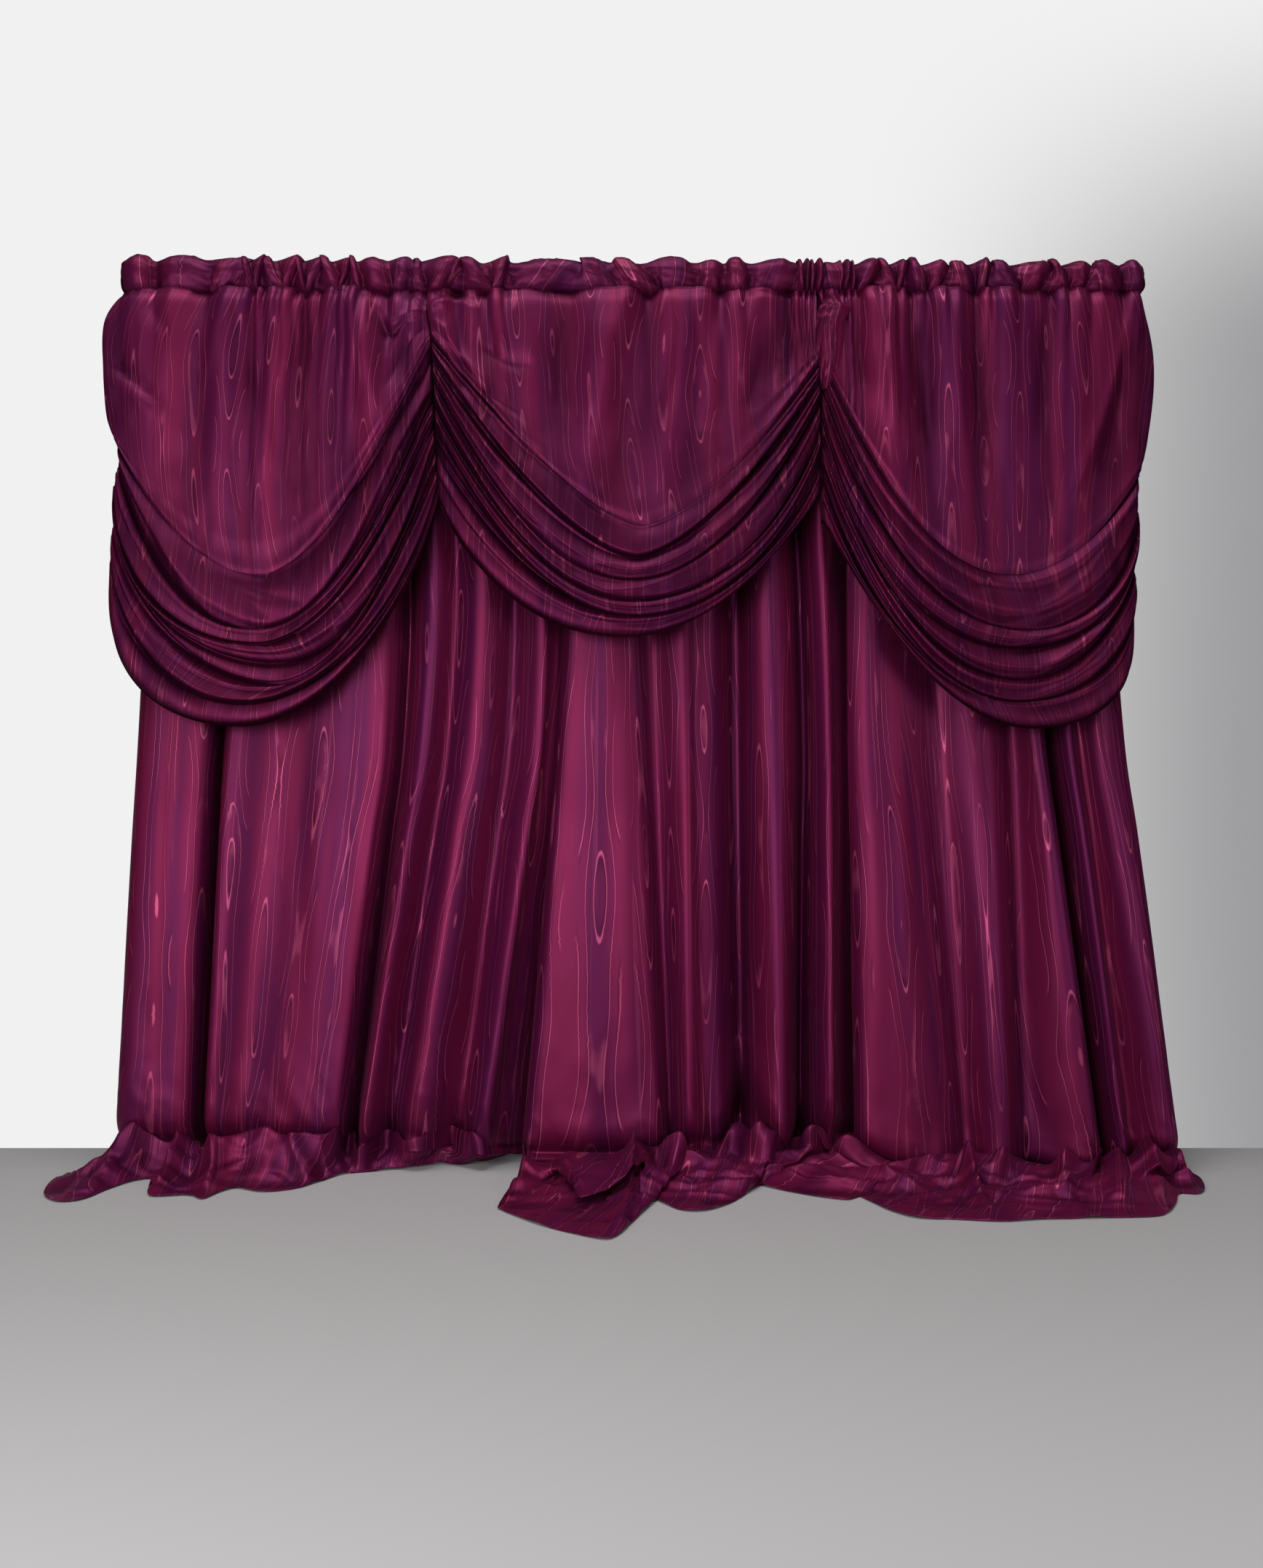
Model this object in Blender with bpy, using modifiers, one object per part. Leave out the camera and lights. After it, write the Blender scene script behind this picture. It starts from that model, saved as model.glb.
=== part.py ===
# A gathered drape: three swags over three full-length panels that puddle on the floor, all hung
# from one rod pocket. Metres. X runs across, Y goes back towards the wall and Z is the height over
# the floor. The world's origin is the middle of the top edge, so the pieces hang from an empty that
# lies DROP lower.

import math
from collections import namedtuple

import bmesh
import bpy
from mathutils import Vector

DROP = 2.60            # top edge over the floor
CLOTH = 0.0025         # thickness of a sheet, seams and hems included
HEM_Z = 2.482          # height at which the swags and panels are sewn under the pocket
WINE = (0.16, 0.012, 0.055, 1.0)

# Rod pocket
POCKET_Z = 2.5425      # middle of its channel
POCKET_HALF_HEIGHT = 0.051
POCKET_HALF_DEPTH = 0.031
POCKET_SIDES = 8

Stretch = namedtuple("Stretch", "name start end puffs swell")
STRETCHES = [
    Stretch("left roll", -1.454, -1.355, 1, 0.014),
    Stretch("smooth", -1.355, -1.11, 2, 0.008),
    Stretch("tight gathers", -1.11, -0.77, 8, 0.010),
    Stretch("loose gathers", -0.77, -0.585, 3, 0.009),
    Stretch("puffs by the left seam", -0.585, -0.35, 3, 0.015),
    Stretch("long puffs", -0.35, -0.04, 2, 0.012),
    Stretch("middle puffs", -0.04, 0.40, 5, 0.014),
    Stretch("tight gathers by the strap", 0.40, 0.63, 5, 0.010),
    Stretch("close gathers", 0.63, 0.90, 5, 0.013),
    Stretch("right puffs", 0.90, 1.40, 7, 0.012),
    Stretch("right end", 1.40, 1.464, 1, 0.012),
]
PINCH = 0.6            # depth of the pinch between two puffs, as a share of their swell
UNDERSIDE = 0.15       # share of the swell that shows under the pocket
BACK = 0.3             # and at its back

# Swags. A row is one level line of the flat cloth, which hangs as a U: its two ends, its lowest
# point, how full the U is on each side, how far its middle and its ends stand out, and how deep the
# cloth tucks back under it. A row with a tuck is the lip of a fold.
Line = namedtuple("Line", "name left low right full_left full_right out edge tuck")
TUCK_RISE = 0.012      # the cloth under a lip goes back up by this much
TUCK_SHARE = 0.4       # and at the gathers lies this far on the way to the next lip
EDGE_TUCK = 0.008
SWAG_COLUMNS = 24
EVEN_SHARE = 0.5       # how evenly the columns are spread across, 0 crowds them at the ends

# Soft folds that run down a swag's belly: X under the pocket and at the crease, depth, half width
Belly = namedtuple("Belly", "name top low depth width")
BELLY_LEFT = [
    Belly("by the side", -1.330, -1.340, 0.012, 0.070),
    Belly("wide fold", -1.135, -1.180, 0.016, 0.055),
    Belly("middle fold", -1.020, -1.040, 0.016, 0.055),
    Belly("slanting fold", -0.805, -0.700, 0.020, 0.050),
]
BELLY_MIDDLE = [
    Belly("by the left seam", -0.330, -0.260, 0.010, 0.070),
    Belly("long slant", -0.046, -0.160, 0.018, 0.060),
    Belly("right slant", 0.175, 0.060, 0.018, 0.060),
    Belly("by the strap", 0.356, 0.310, 0.014, 0.050),
]
BELLY_RIGHT = [
    Belly("by the strap", 0.715, 0.740, 0.020, 0.055),
    Belly("middle fold", 0.900, 0.915, 0.018, 0.050),
    Belly("wide fold", 1.065, 1.090, 0.014, 0.065),
    Belly("by the side", 1.260, 1.230, 0.010, 0.070),
]

SOFT, ROUND, BOXY = (2.0, 1.0), (2.0, 2.0), (2.0, 3.0)
STEEP, FULL = (1.6, 1.0), (2.2, 1.2)

SWAG_LEFT = [
    Line("under the pocket", (-1.447, 2.482), (-1.015, 2.482), (-0.590, 2.482), SOFT, SOFT, 0.012, 0.012, 0.0),
    Line("upper belly", (-1.500, 2.400), (-1.035, 2.335), (-0.588, 2.450), SOFT, SOFT, 0.040, 0.030, 0.0),
    Line("belly", (-1.500, 2.250), (-1.045, 2.125), (-0.586, 2.420), SOFT, SOFT, 0.058, 0.034, 0.0),
    Line("lower belly", (-1.490, 2.135), (-1.055, 1.895), (-0.581, 2.385), SOFT, SOFT, 0.075, 0.038, 0.0),
    Line("crease", (-1.465, 2.070), (-1.030, 1.670), (-0.576, 2.345), SOFT, STEEP, 0.095, 0.045, 0.008),
    Line("first fold", (-1.448, 2.020), (-1.045, 1.520), (-0.568, 2.200), FULL, SOFT, 0.118, 0.052, 0.030),
    Line("second fold", (-1.458, 1.965), (-1.040, 1.478), (-0.565, 2.120), (2.0, 2.5), SOFT, 0.128, 0.055, 0.026),
    Line("third fold", (-1.466, 1.920), (-0.990, 1.430), (-0.562, 2.055), ROUND, FULL, 0.132, 0.057, 0.036),
    Line("fourth fold", (-1.460, 1.870), (-0.985, 1.365), (-0.558, 1.995), (2.0, 1.5), SOFT, 0.130, 0.057, 0.034),
    Line("fifth fold", (-1.470, 1.790), (-1.085, 1.315), (-0.555, 1.950), ROUND, (2.0, 1.5), 0.122, 0.056, 0.034),
    Line("bottom fold", (-1.477, 1.710), (-1.100, 1.255), (-0.552, 1.905), BOXY, (2.0, 1.35), 0.100, 0.050, 0.045),
    Line("hem turned up behind", (-1.465, 1.730), (-1.100, 1.300), (-0.553, 1.915), BOXY, SOFT, 0.050, 0.038, 0.0),
]
SWAG_MIDDLE = [
    Line("under the pocket", (-0.580, 2.482), (-0.015, 2.482), (0.522, 2.482), SOFT, SOFT, 0.012, 0.012, 0.0),
    Line("upper belly", (-0.579, 2.450), (-0.015, 2.355), (0.526, 2.440), SOFT, SOFT, 0.038, 0.030, 0.0),
    Line("belly", (-0.576, 2.420), (-0.015, 2.170), (0.529, 2.385), SOFT, SOFT, 0.055, 0.034, 0.0),
    Line("lower belly", (-0.571, 2.395), (-0.005, 1.985), (0.531, 2.345), STEEP, STEEP, 0.072, 0.038, 0.0),
    Line("crease", (-0.567, 2.365), (0.025, 1.805), (0.533, 2.300), (1.4, 1.0), STEEP, 0.095, 0.045, 0.012),
    Line("first fold", (-0.564, 2.315), (0.015, 1.720), (0.534, 2.250), STEEP, STEEP, 0.114, 0.052, 0.028),
    Line("second fold", (-0.561, 2.250), (0.000, 1.660), (0.534, 2.190), SOFT, SOFT, 0.126, 0.055, 0.032),
    Line("third fold", (-0.557, 2.185), (0.000, 1.605), (0.534, 2.120), SOFT, FULL, 0.130, 0.057, 0.034),
    Line("fourth fold", (-0.553, 2.105), (0.005, 1.560), (0.534, 2.045), SOFT, FULL, 0.126, 0.057, 0.034),
    Line("bottom fold", (-0.546, 1.905), (-0.010, 1.505), (0.532, 1.910), FULL, SOFT, 0.104, 0.050, 0.045),
    Line("hem turned up behind", (-0.547, 1.920), (-0.010, 1.545), (0.532, 1.925), SOFT, SOFT, 0.050, 0.038, 0.0),
]
SWAG_RIGHT = [
    Line("under the pocket", (0.540, 2.482), (1.045, 2.482), (1.445, 2.482), SOFT, SOFT, 0.012, 0.012, 0.0),
    Line("upper belly", (0.552, 2.430), (1.045, 2.335), (1.475, 2.370), SOFT, SOFT, 0.040, 0.030, 0.0),
    Line("belly", (0.551, 2.370), (1.050, 2.125), (1.485, 2.235), SOFT, SOFT, 0.058, 0.034, 0.0),
    Line("lower belly", (0.549, 2.325), (1.060, 1.895), (1.465, 2.070), SOFT, SOFT, 0.075, 0.038, 0.0),
    Line("crease", (0.547, 2.290), (1.060, 1.670), (1.445, 1.990), SOFT, SOFT, 0.095, 0.045, 0.008),
    Line("first fold", (0.546, 2.230), (1.110, 1.520), (1.428, 1.910), FULL, ROUND, 0.118, 0.052, 0.028),
    Line("second fold", (0.546, 2.160), (1.080, 1.470), (1.436, 1.835), (2.0, 1.6), ROUND, 0.128, 0.055, 0.032),
    Line("third fold", (0.546, 2.085), (1.085, 1.385), (1.420, 1.735), FULL, (2.0, 1.4), 0.132, 0.057, 0.036),
    Line("fourth fold", (0.546, 2.000), (1.077, 1.320), (1.425, 1.650), (2.0, 1.3), ROUND, 0.124, 0.056, 0.036),
    Line("bottom fold", (0.544, 1.835), (1.125, 1.250), (1.418, 1.550), SOFT, BOXY, 0.100, 0.050, 0.045),
    Line("hem turned up behind", (0.545, 1.850), (1.125, 1.295), (1.410, 1.575), SOFT, BOXY, 0.050, 0.038, 0.0),
]

# Panels. A row is one ridge, shoulder or valley of the hanging folds: where it is across at waist
# height and at knee height, how far it stands out of the valleys as a share, and the height at
# which it meets its own puddle.
Fold = namedtuple("Fold", "name waist knee out hang")
WAIST_Z, KNEE_Z = 1.25, 0.43

PANEL_LEFT = [
    Fold("side turned back", -1.410, -1.440, 0.00, 0.13),
    Fold("left edge", -1.418, -1.447, 0.45, 0.13),
    Fold("shoulder", -1.380, -1.410, 0.88, 0.14),
    Fold("first ridge", -1.300, -1.325, 1.00, 0.14),
    Fold("shoulder", -1.215, -1.240, 0.80, 0.14),
    Fold("first valley", -1.180, -1.210, 0.05, 0.14),
    Fold("shoulder", -1.145, -1.175, 0.80, 0.14),
    Fold("wide ridge", -1.015, -1.080, 1.00, 0.13),
    Fold("wide dip", -0.850, -0.925, 0.88, 0.13),
    Fold("wide ridge", -0.722, -0.812, 1.00, 0.14),
    Fold("sharp edge", -0.688, -0.780, 0.70, 0.14),
    Fold("second valley", -0.655, -0.750, 0.00, 0.14),
    Fold("third ridge", -0.590, -0.708, 0.85, 0.13),
    Fold("third valley", -0.527, -0.640, 0.15, 0.15),
    Fold("fourth ridge", -0.444, -0.558, 0.95, 0.17),
    Fold("fourth valley", -0.350, -0.454, 0.10, 0.16),
    Fold("fifth ridge", -0.262, -0.372, 0.90, 0.16),
    Fold("inner edge", -0.225, -0.325, 0.35, 0.15),
    Fold("tucked behind", -0.165, -0.240, -0.30, 0.12),
]
PANEL_MIDDLE = [
    Fold("inner edge", -0.208, -0.278, 0.45, 0.09),
    Fold("shoulder", -0.180, -0.240, 0.85, 0.09),
    Fold("wide ridge", -0.090, -0.096, 1.00, 0.09),
    Fold("shoulder", 0.006, 0.046, 0.85, 0.10),
    Fold("first valley", 0.067, 0.098, 0.35, 0.12),
    Fold("seam ridge", 0.146, 0.154, 0.88, 0.14),
    Fold("dip", 0.185, 0.196, 0.40, 0.13),
    Fold("low ridge", 0.225, 0.244, 0.50, 0.12),
    Fold("raised valley", 0.312, 0.320, 0.10, 0.26),
    Fold("second ridge", 0.412, 0.416, 0.88, 0.11),
    Fold("second valley", 0.500, 0.490, 0.05, 0.14),
    Fold("third ridge", 0.560, 0.556, 0.85, 0.18),
    Fold("outer edge", 0.602, 0.602, 0.20, 0.12),
    Fold("tucked behind", 0.655, 0.660, -0.30, 0.10),
]
PANEL_RIGHT = [
    Fold("inner edge", 0.622, 0.628, 0.45, 0.10),
    Fold("shoulder", 0.650, 0.660, 0.82, 0.08),
    Fold("first ridge", 0.692, 0.744, 1.00, 0.03),
    Fold("slope", 0.796, 0.870, 0.60, 0.012),
    Fold("first valley", 0.890, 0.938, 0.35, 0.012),
    Fold("second ridge", 0.998, 1.030, 0.88, 0.012),
    Fold("second valley", 1.094, 1.119, 0.30, 0.012),
    Fold("third ridge", 1.150, 1.233, 0.97, 0.015),
    Fold("sharp edge", 1.175, 1.270, 0.75, 0.02),
    Fold("third valley", 1.204, 1.296, 0.05, 0.03),
    Fold("fourth ridge", 1.250, 1.340, 0.80, 0.035),
    Fold("dip", 1.290, 1.383, 0.35, 0.05),
    Fold("last ridge", 1.340, 1.456, 0.95, 0.07),
    Fold("right edge", 1.410, 1.500, 0.60, 0.08),
    Fold("side turned back", 1.402, 1.488, 0.00, 0.08),
]

# How far ridges and valleys stand out at each height. The swags hang in front of the upper rows.
Section = namedtuple("Section", "height ridge valley")
SECTIONS = [
    Section(2.482, -0.012, -0.026),
    Section(2.25, -0.006, -0.052),
    Section(1.70, -0.002, -0.068),
    Section(1.22, 0.012, -0.066),
    Section(0.95, 0.048, -0.060),
    Section(0.65, 0.076, -0.054),
    Section(0.40, 0.094, -0.048),
]

# The blouse at the foot of a panel, as shares of the hang height below it: the lift over the point
# where the fold turns under, and how far it swells past the lowest section.
Turn = namedtuple("Turn", "share lift swell")
TURNS = [
    Turn(1.0, 0.095, 0.016),
    Turn(1.0, 0.025, 0.020),
    Turn(0.86, 0.0, 0.006),
    Turn(0.52, 0.004, -0.030),
    Turn(0.30, 0.004, -0.004),
]
FULL_HANG = 0.14       # the hang height at which a fold tucks back in full
PUDDLE_ROWS = 6

# Hems of the puddles, from the panel's left edge to its right: share of the width, X and Y
Hem = namedtuple("Hem", "share x y")
HEM_LEFT = [
    Hem(0.00, -1.565, -0.190),
    Hem(0.03, -1.545, -0.330),
    Hem(0.08, -1.460, -0.400),
    Hem(0.15, -1.415, -0.370),
    Hem(0.25, -1.345, -0.200),
    Hem(0.32, -1.270, -0.340),
    Hem(0.43, -1.125, -0.370),
    Hem(0.50, -1.085, -0.285),
    Hem(0.59, -1.010, -0.300),
    Hem(0.70, -0.880, -0.262),
    Hem(0.78, -0.780, -0.125),
    Hem(0.89, -0.610, -0.085),
    Hem(1.00, -0.435, -0.015),
]
HEM_MIDDLE = [
    Hem(0.00, -0.360, -0.240),
    Hem(0.07, -0.338, -0.470),
    Hem(0.18, -0.223, -0.595),
    Hem(0.31, -0.078, -0.722),
    Hem(0.38, -0.015, -0.640),
    Hem(0.46, 0.033, -0.345),
    Hem(0.55, 0.092, -0.405),
    Hem(0.66, 0.182, -0.485),
    Hem(0.75, 0.247, -0.445),
    Hem(0.92, 0.335, -0.240),
    Hem(1.00, 0.560, 0.050),
]
HEM_RIGHT = [
    Hem(0.00, 0.385, -0.250),
    Hem(0.12, 0.555, -0.372),
    Hem(0.20, 0.635, -0.362),
    Hem(0.30, 0.722, -0.548),
    Hem(0.45, 0.925, -0.580),
    Hem(0.62, 1.135, -0.548),
    Hem(0.78, 1.335, -0.536),
    Hem(0.87, 1.430, -0.380),
    Hem(0.94, 1.520, -0.310),
    Hem(1.00, 1.550, -0.130),
]

# Ridges of cloth that stand on the floor: their two ends, height and half width
Ridge = namedtuple("Ridge", "name x0 y0 x1 y1 height width")
RIDGES = [
    Ridge("left tail", -1.42, -0.12, -1.52, -0.26, 0.060, 0.055),
    Ridge("left tail, front", -1.30, -0.10, -1.45, -0.30, 0.030, 0.035),
    Ridge("standing peak", -1.24, -0.08, -1.25, -0.22, 0.080, 0.040),
    Ridge("wide swell", -1.02, -0.10, -1.12, -0.26, 0.045, 0.070),
    Ridge("swell under the wide fold", -0.90, -0.10, -1.05, -0.18, 0.040, 0.050),
    Ridge("left ripple", -0.86, -0.06, -0.62, -0.04, 0.035, 0.040),
    Ridge("seam end", -0.56, -0.06, -0.48, -0.06, 0.030, 0.040),
    Ridge("middle lobe, left", -0.30, -0.18, -0.28, -0.44, 0.025, 0.050),
    Ridge("flap", -0.10, -0.18, -0.08, -0.50, 0.035, 0.070),
    Ridge("between the lobes", 0.02, -0.14, 0.03, -0.30, 0.040, 0.030),
    Ridge("right lobe ripple", 0.10, -0.16, 0.28, -0.26, 0.035, 0.035),
    Ridge("right lobe front", 0.12, -0.28, 0.24, -0.38, 0.020, 0.040),
    Ridge("long ripple", 0.42, -0.22, 0.70, -0.20, 0.040, 0.035),
    Ridge("long ripple, front", 0.56, -0.32, 0.78, -0.36, 0.028, 0.035),
    Ridge("ripple under the third ridge", 0.92, -0.22, 0.86, -0.42, 0.030, 0.045),
    Ridge("loose corner", 1.02, -0.20, 1.08, -0.38, 0.035, 0.035),
    Ridge("S of the fourth ridge", 1.26, -0.18, 1.22, -0.36, 0.055, 0.040),
    Ridge("right swell", 1.40, -0.14, 1.36, -0.34, 0.050, 0.045),
    Ridge("right tail", 1.48, -0.10, 1.50, -0.24, 0.035, 0.040),
]

# Twisted strap at the right gather: height, middle, half width, how far out, and its roll in turns
Twist = namedtuple("Twist", "height x half out roll")
STRAP = [
    Twist(2.478, 0.556, 0.034, 0.050, 0.00),
    Twist(2.450, 0.556, 0.030, 0.068, 0.02),
    Twist(2.410, 0.566, 0.032, 0.082, 0.06),
    Twist(2.365, 0.562, 0.030, 0.092, 0.12),
    Twist(2.315, 0.552, 0.022, 0.098, 0.20),
    Twist(2.270, 0.552, 0.017, 0.100, 0.26),
    Twist(2.235, 0.560, 0.012, 0.100, 0.30),
]
STRAP_COLUMNS = 6
STRAP_CROWN = 0.012


def spline(values, at):
    # A smooth curve through equally spaced values, which may be numbers or vectors
    index = min(int(at), len(values) - 2)
    t = at - index
    here, ahead = values[index], values[index + 1]
    behind = values[index - 1] if index > 0 else here * 2 - ahead
    beyond = values[index + 2] if index + 2 < len(values) else ahead * 2 - here
    slope = (ahead - behind) * t
    bend = (behind * 2 - here * 5 + ahead * 4 - beyond) * t ** 2
    twist = (here * 3 - behind - ahead * 3 + beyond) * t ** 3
    return (here * 2 + slope + bend + twist) * 0.5


def mix(a, b, share):
    return a + (b - a) * share


def between(rows, key, at):
    # Linear reading of a table whose first column rises or falls evenly: the two rows and the share
    for low, high in zip(rows, rows[1:]):
        a, b = getattr(low, key), getattr(high, key)
        if (at - a) * (at - b) <= 0 and a != b:
            return low, high, (at - a) / (b - a)
    return rows[-1], rows[-1], 0.0


def with_tucks(lines):
    # Adds, under each lip, the line where the cloth has gone back in
    made = []
    for line, after in zip(lines, lines[1:] + lines[-1:]):
        made.append(line)
        if line.tuck and after is not line:
            left = tuple(mix(a, b, TUCK_SHARE) for a, b in zip(line.left, after.left))
            right = tuple(mix(a, b, TUCK_SHARE) for a, b in zip(line.right, after.right))
            low = (line.low[0], line.low[1] + TUCK_RISE)
            made.append(line._replace(
                left=left, low=low, right=right,
                out=line.out - line.tuck, edge=line.edge - EDGE_TUCK,
            ))
    return made


def line_point(line, u):
    angle = math.pi * u
    on_left = u < 0.5
    end = line.left if on_left else line.right
    flat, steep = line.full_left if on_left else line.full_right
    away = abs(math.cos(angle))
    drop = max(0.0, 1.0 - away ** flat) ** (1.0 / steep)
    x = mix(line.low[0], end[0], away)
    z = mix(end[1], line.low[1], drop)
    y = -mix(line.edge, line.out, math.sin(angle) ** 0.8)
    return Vector((x, y, z))


def swag_surface(lines, bellies):
    level = with_tucks(lines)
    crease = next(index for index, line in enumerate(level) if line.tuck)

    def place(u, v):
        even = math.acos(max(-1.0, min(1.0, 1.0 - 2.0 * u))) / math.pi
        at = v * (len(level) - 1)
        point = spline([line_point(line, mix(u, even, EVEN_SHARE)) for line in level], at)
        share = min(1.0, at / crease)
        for belly in bellies:
            away = (point.x - mix(belly.top, belly.low, share)) / belly.width
            point.y -= belly.depth * (1.0 - share ** 2) * math.exp(-away ** 2)
        return point

    return place, len(level) - 1


def ridge_height(x, y):
    # Height of the standing ridges over the floor at a point
    total = 0.0
    for ridge in RIDGES:
        along = Vector((ridge.x1 - ridge.x0, ridge.y1 - ridge.y0))
        away = Vector((x - ridge.x0, y - ridge.y0))
        share = min(1.0, max(0.0, away.dot(along) / along.length_squared))
        distance = (away - along * share).length / ridge.width
        total += ridge.height * (1.0 - 0.5 * share) * math.exp(-distance ** 2)
    return total


def panel_surface(folds, hem, top_left, top_right):
    last = len(folds) - 1
    rows = len(SECTIONS) + len(TURNS) + PUDDLE_ROWS
    keys = ("waist", "knee", "out", "hang")
    columns = {key: [getattr(fold, key) for fold in folds] for key in keys}

    def across(waist, knee, u, z):
        # Straight below the waist, then bending smoothly to an even spread at the top
        lean = (waist - knee) * (z - WAIST_Z) / (WAIST_Z - KNEE_Z)
        if z < WAIST_Z:
            return waist + lean
        rise = (z - WAIST_Z) / (HEM_Z - WAIST_Z)
        spread = (mix(top_left, top_right, u) - waist) * rise ** 2 * (3.0 - 2.0 * rise)
        return waist + lean * (1.0 - rise) ** 2 + spread

    def place(u, v):
        waist, knee, out, hang = (spline(columns[key], u * last) for key in keys)
        row = round(v * (rows - 1))
        if row < len(SECTIONS):
            part = SECTIONS[row]
            y = -mix(part.valley, part.ridge, out)
            return Vector((across(waist, knee, u, part.height), y, part.height))
        foot = SECTIONS[-1]
        row -= len(SECTIONS)
        turn = TURNS[min(row, len(TURNS) - 1)]
        tuck = min(1.0, hang / FULL_HANG) if turn.swell < 0 else 1.0
        z = hang * turn.share + turn.lift + CLOTH
        y = -mix(foot.valley, foot.ridge, out) - turn.swell * tuck
        x = across(waist, knee, u, max(z, 0.05))
        if row < len(TURNS):
            return Vector((x, y, z))
        low, high, share = between(hem, "share", u)
        goal = Vector((mix(low.x, high.x, share), mix(low.y, high.y, share)))
        run = (row - len(TURNS) + 1) / PUDDLE_ROWS
        x, y = mix(x, goal.x, run), mix(y, goal.y, run)
        rest = CLOTH * 0.6 + (z - CLOTH * 0.6) * (1.0 - run) ** 2
        return Vector((x, y, rest + ridge_height(x, y) * (1.0 - run ** 3)))

    return place, rows - 1


def strap_point(u, v):
    at = v * (len(STRAP) - 1)
    height, x, half, out, roll = (
        spline([getattr(row, key) for row in STRAP], at) for key in STRAP[0]._fields
    )
    side = 2.0 * u - 1.0
    turn = 2.0 * math.pi * roll * 0.5
    depth = -out - STRAP_CROWN * (1.0 - side ** 2)
    return Vector((x + half * side * math.cos(turn), depth + half * side * math.sin(turn), height))


def pocket_stations():
    # X, swell, slant and roll of each puff and of the pinch after it. Puffs differ in width and
    # height, slant to either side, and roll between the top and the front of the pocket.
    first = STRETCHES[0]
    stations = [(first.start, -PINCH * first.swell, 0.0, 0.0)]
    for stretch in STRETCHES:
        wave = [31.0 * stretch.start + 1.9 * puff for puff in range(stretch.puffs)]
        widths = [1.0 + 0.35 * math.sin(phase) for phase in wave]
        unit = (stretch.end - stretch.start) / sum(widths)
        start = stretch.start
        for phase, width in zip(wave, widths):
            pitch = unit * width
            slant = 0.2 * pitch * math.sin(1.7 * phase)
            roll = 0.5 * math.pi * (0.5 + 0.5 * math.sin(2.3 * phase))
            high = stretch.swell * (0.75 + 0.25 * math.sin(1.3 * phase))
            stations.append((start + 0.3 * pitch, 0.9 * high, slant, roll))
            stations.append((start + 0.62 * pitch, high, slant, roll))
            stations.append((start + 0.97 * pitch, -PINCH * stretch.swell, slant, roll))
            start += pitch
    return stations


def pocket_point(stations, u, v):
    # The angle runs from the top of the pocket over its front, which faces -Y
    x, swell, slant, roll = stations[round(v * (len(stations) - 1))]
    angle = 2.0 * math.pi * u
    up, front = math.cos(angle), math.sin(angle)
    puffed = swell * (0.8 + 0.4 * math.cos(angle - roll)) if swell > 0 else swell
    depth = POCKET_HALF_DEPTH + puffed * (1.0 if front > 0 else BACK)
    height = POCKET_HALF_HEIGHT + puffed * (1.0 if up > 0 else UNDERSIDE)
    return Vector((x + slant * up, -front * depth, POCKET_Z + up * height))


def cloth_material(name):
    material = bpy.data.materials.new(name)
    material.use_nodes = True
    shader = material.node_tree.nodes["Principled BSDF"]
    shader.inputs["Base Color"].default_value = WINE
    shader.inputs["Roughness"].default_value = 0.42
    shader.inputs["Metallic"].default_value = 0.0
    return material


def add_sheet(name, columns, rows, place, collection, hanger, closed=False):
    # A flat grid is moved onto the hanging surface, and Solidify gives it the cloth's thickness
    mesh = bpy.data.meshes.new(name)
    grid = bmesh.new()
    bmesh.ops.create_grid(grid, x_segments=columns, y_segments=rows, size=0.5)
    for vertex in grid.verts:
        vertex.co = place(vertex.co.x + 0.5, 0.5 - vertex.co.y)
    if closed:
        bmesh.ops.remove_doubles(grid, verts=grid.verts, dist=0.0001)
    bmesh.ops.recalc_face_normals(grid, faces=grid.faces)
    grid.to_mesh(mesh)
    grid.free()
    mesh.shade_smooth()
    mesh.materials.append(cloth_material(name + "_cloth"))
    piece = bpy.data.objects.new(name, mesh)
    piece.parent = hanger
    collection.objects.link(piece)
    thicken = piece.modifiers.new("Cloth", "SOLIDIFY")
    thicken.thickness = CLOTH
    thicken.offset = 1.0 if closed else 0.0
    thicken.use_even_offset = False
    return piece


def main():
    for item in list(bpy.data.objects):
        bpy.data.objects.remove(item, do_unlink=True)
    drape = bpy.data.collections.new("fabric_drape")
    bpy.context.scene.collection.children.link(drape)
    hanger = bpy.data.objects.new("hanger", None)
    hanger.location.z = -DROP
    drape.objects.link(hanger)

    stations = pocket_stations()
    add_sheet(
        "heading", POCKET_SIDES, len(stations) - 1,
        lambda u, v: pocket_point(stations, u, v), drape, hanger, closed=True,
    )
    for name, lines, bellies in (
        ("swag_left", SWAG_LEFT, BELLY_LEFT),
        ("swag_middle", SWAG_MIDDLE, BELLY_MIDDLE),
        ("swag_right", SWAG_RIGHT, BELLY_RIGHT),
    ):
        place, rows = swag_surface(lines, bellies)
        add_sheet(name, SWAG_COLUMNS, rows, place, drape, hanger)
    add_sheet("gather_strap", STRAP_COLUMNS, len(STRAP) - 1, strap_point, drape, hanger)
    for name, folds, hem, top_left, top_right in (
        ("panel_left", PANEL_LEFT, HEM_LEFT, -1.435, -0.190),
        ("panel_middle", PANEL_MIDDLE, HEM_MIDDLE, -0.216, 0.645),
        ("panel_right", PANEL_RIGHT, HEM_RIGHT, 0.618, 1.440),
    ):
        place, rows = panel_surface(folds, hem, top_left, top_right)
        add_sheet(name, 2 * (len(folds) - 1), rows, place, drape, hanger)


main()
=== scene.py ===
import math

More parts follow.
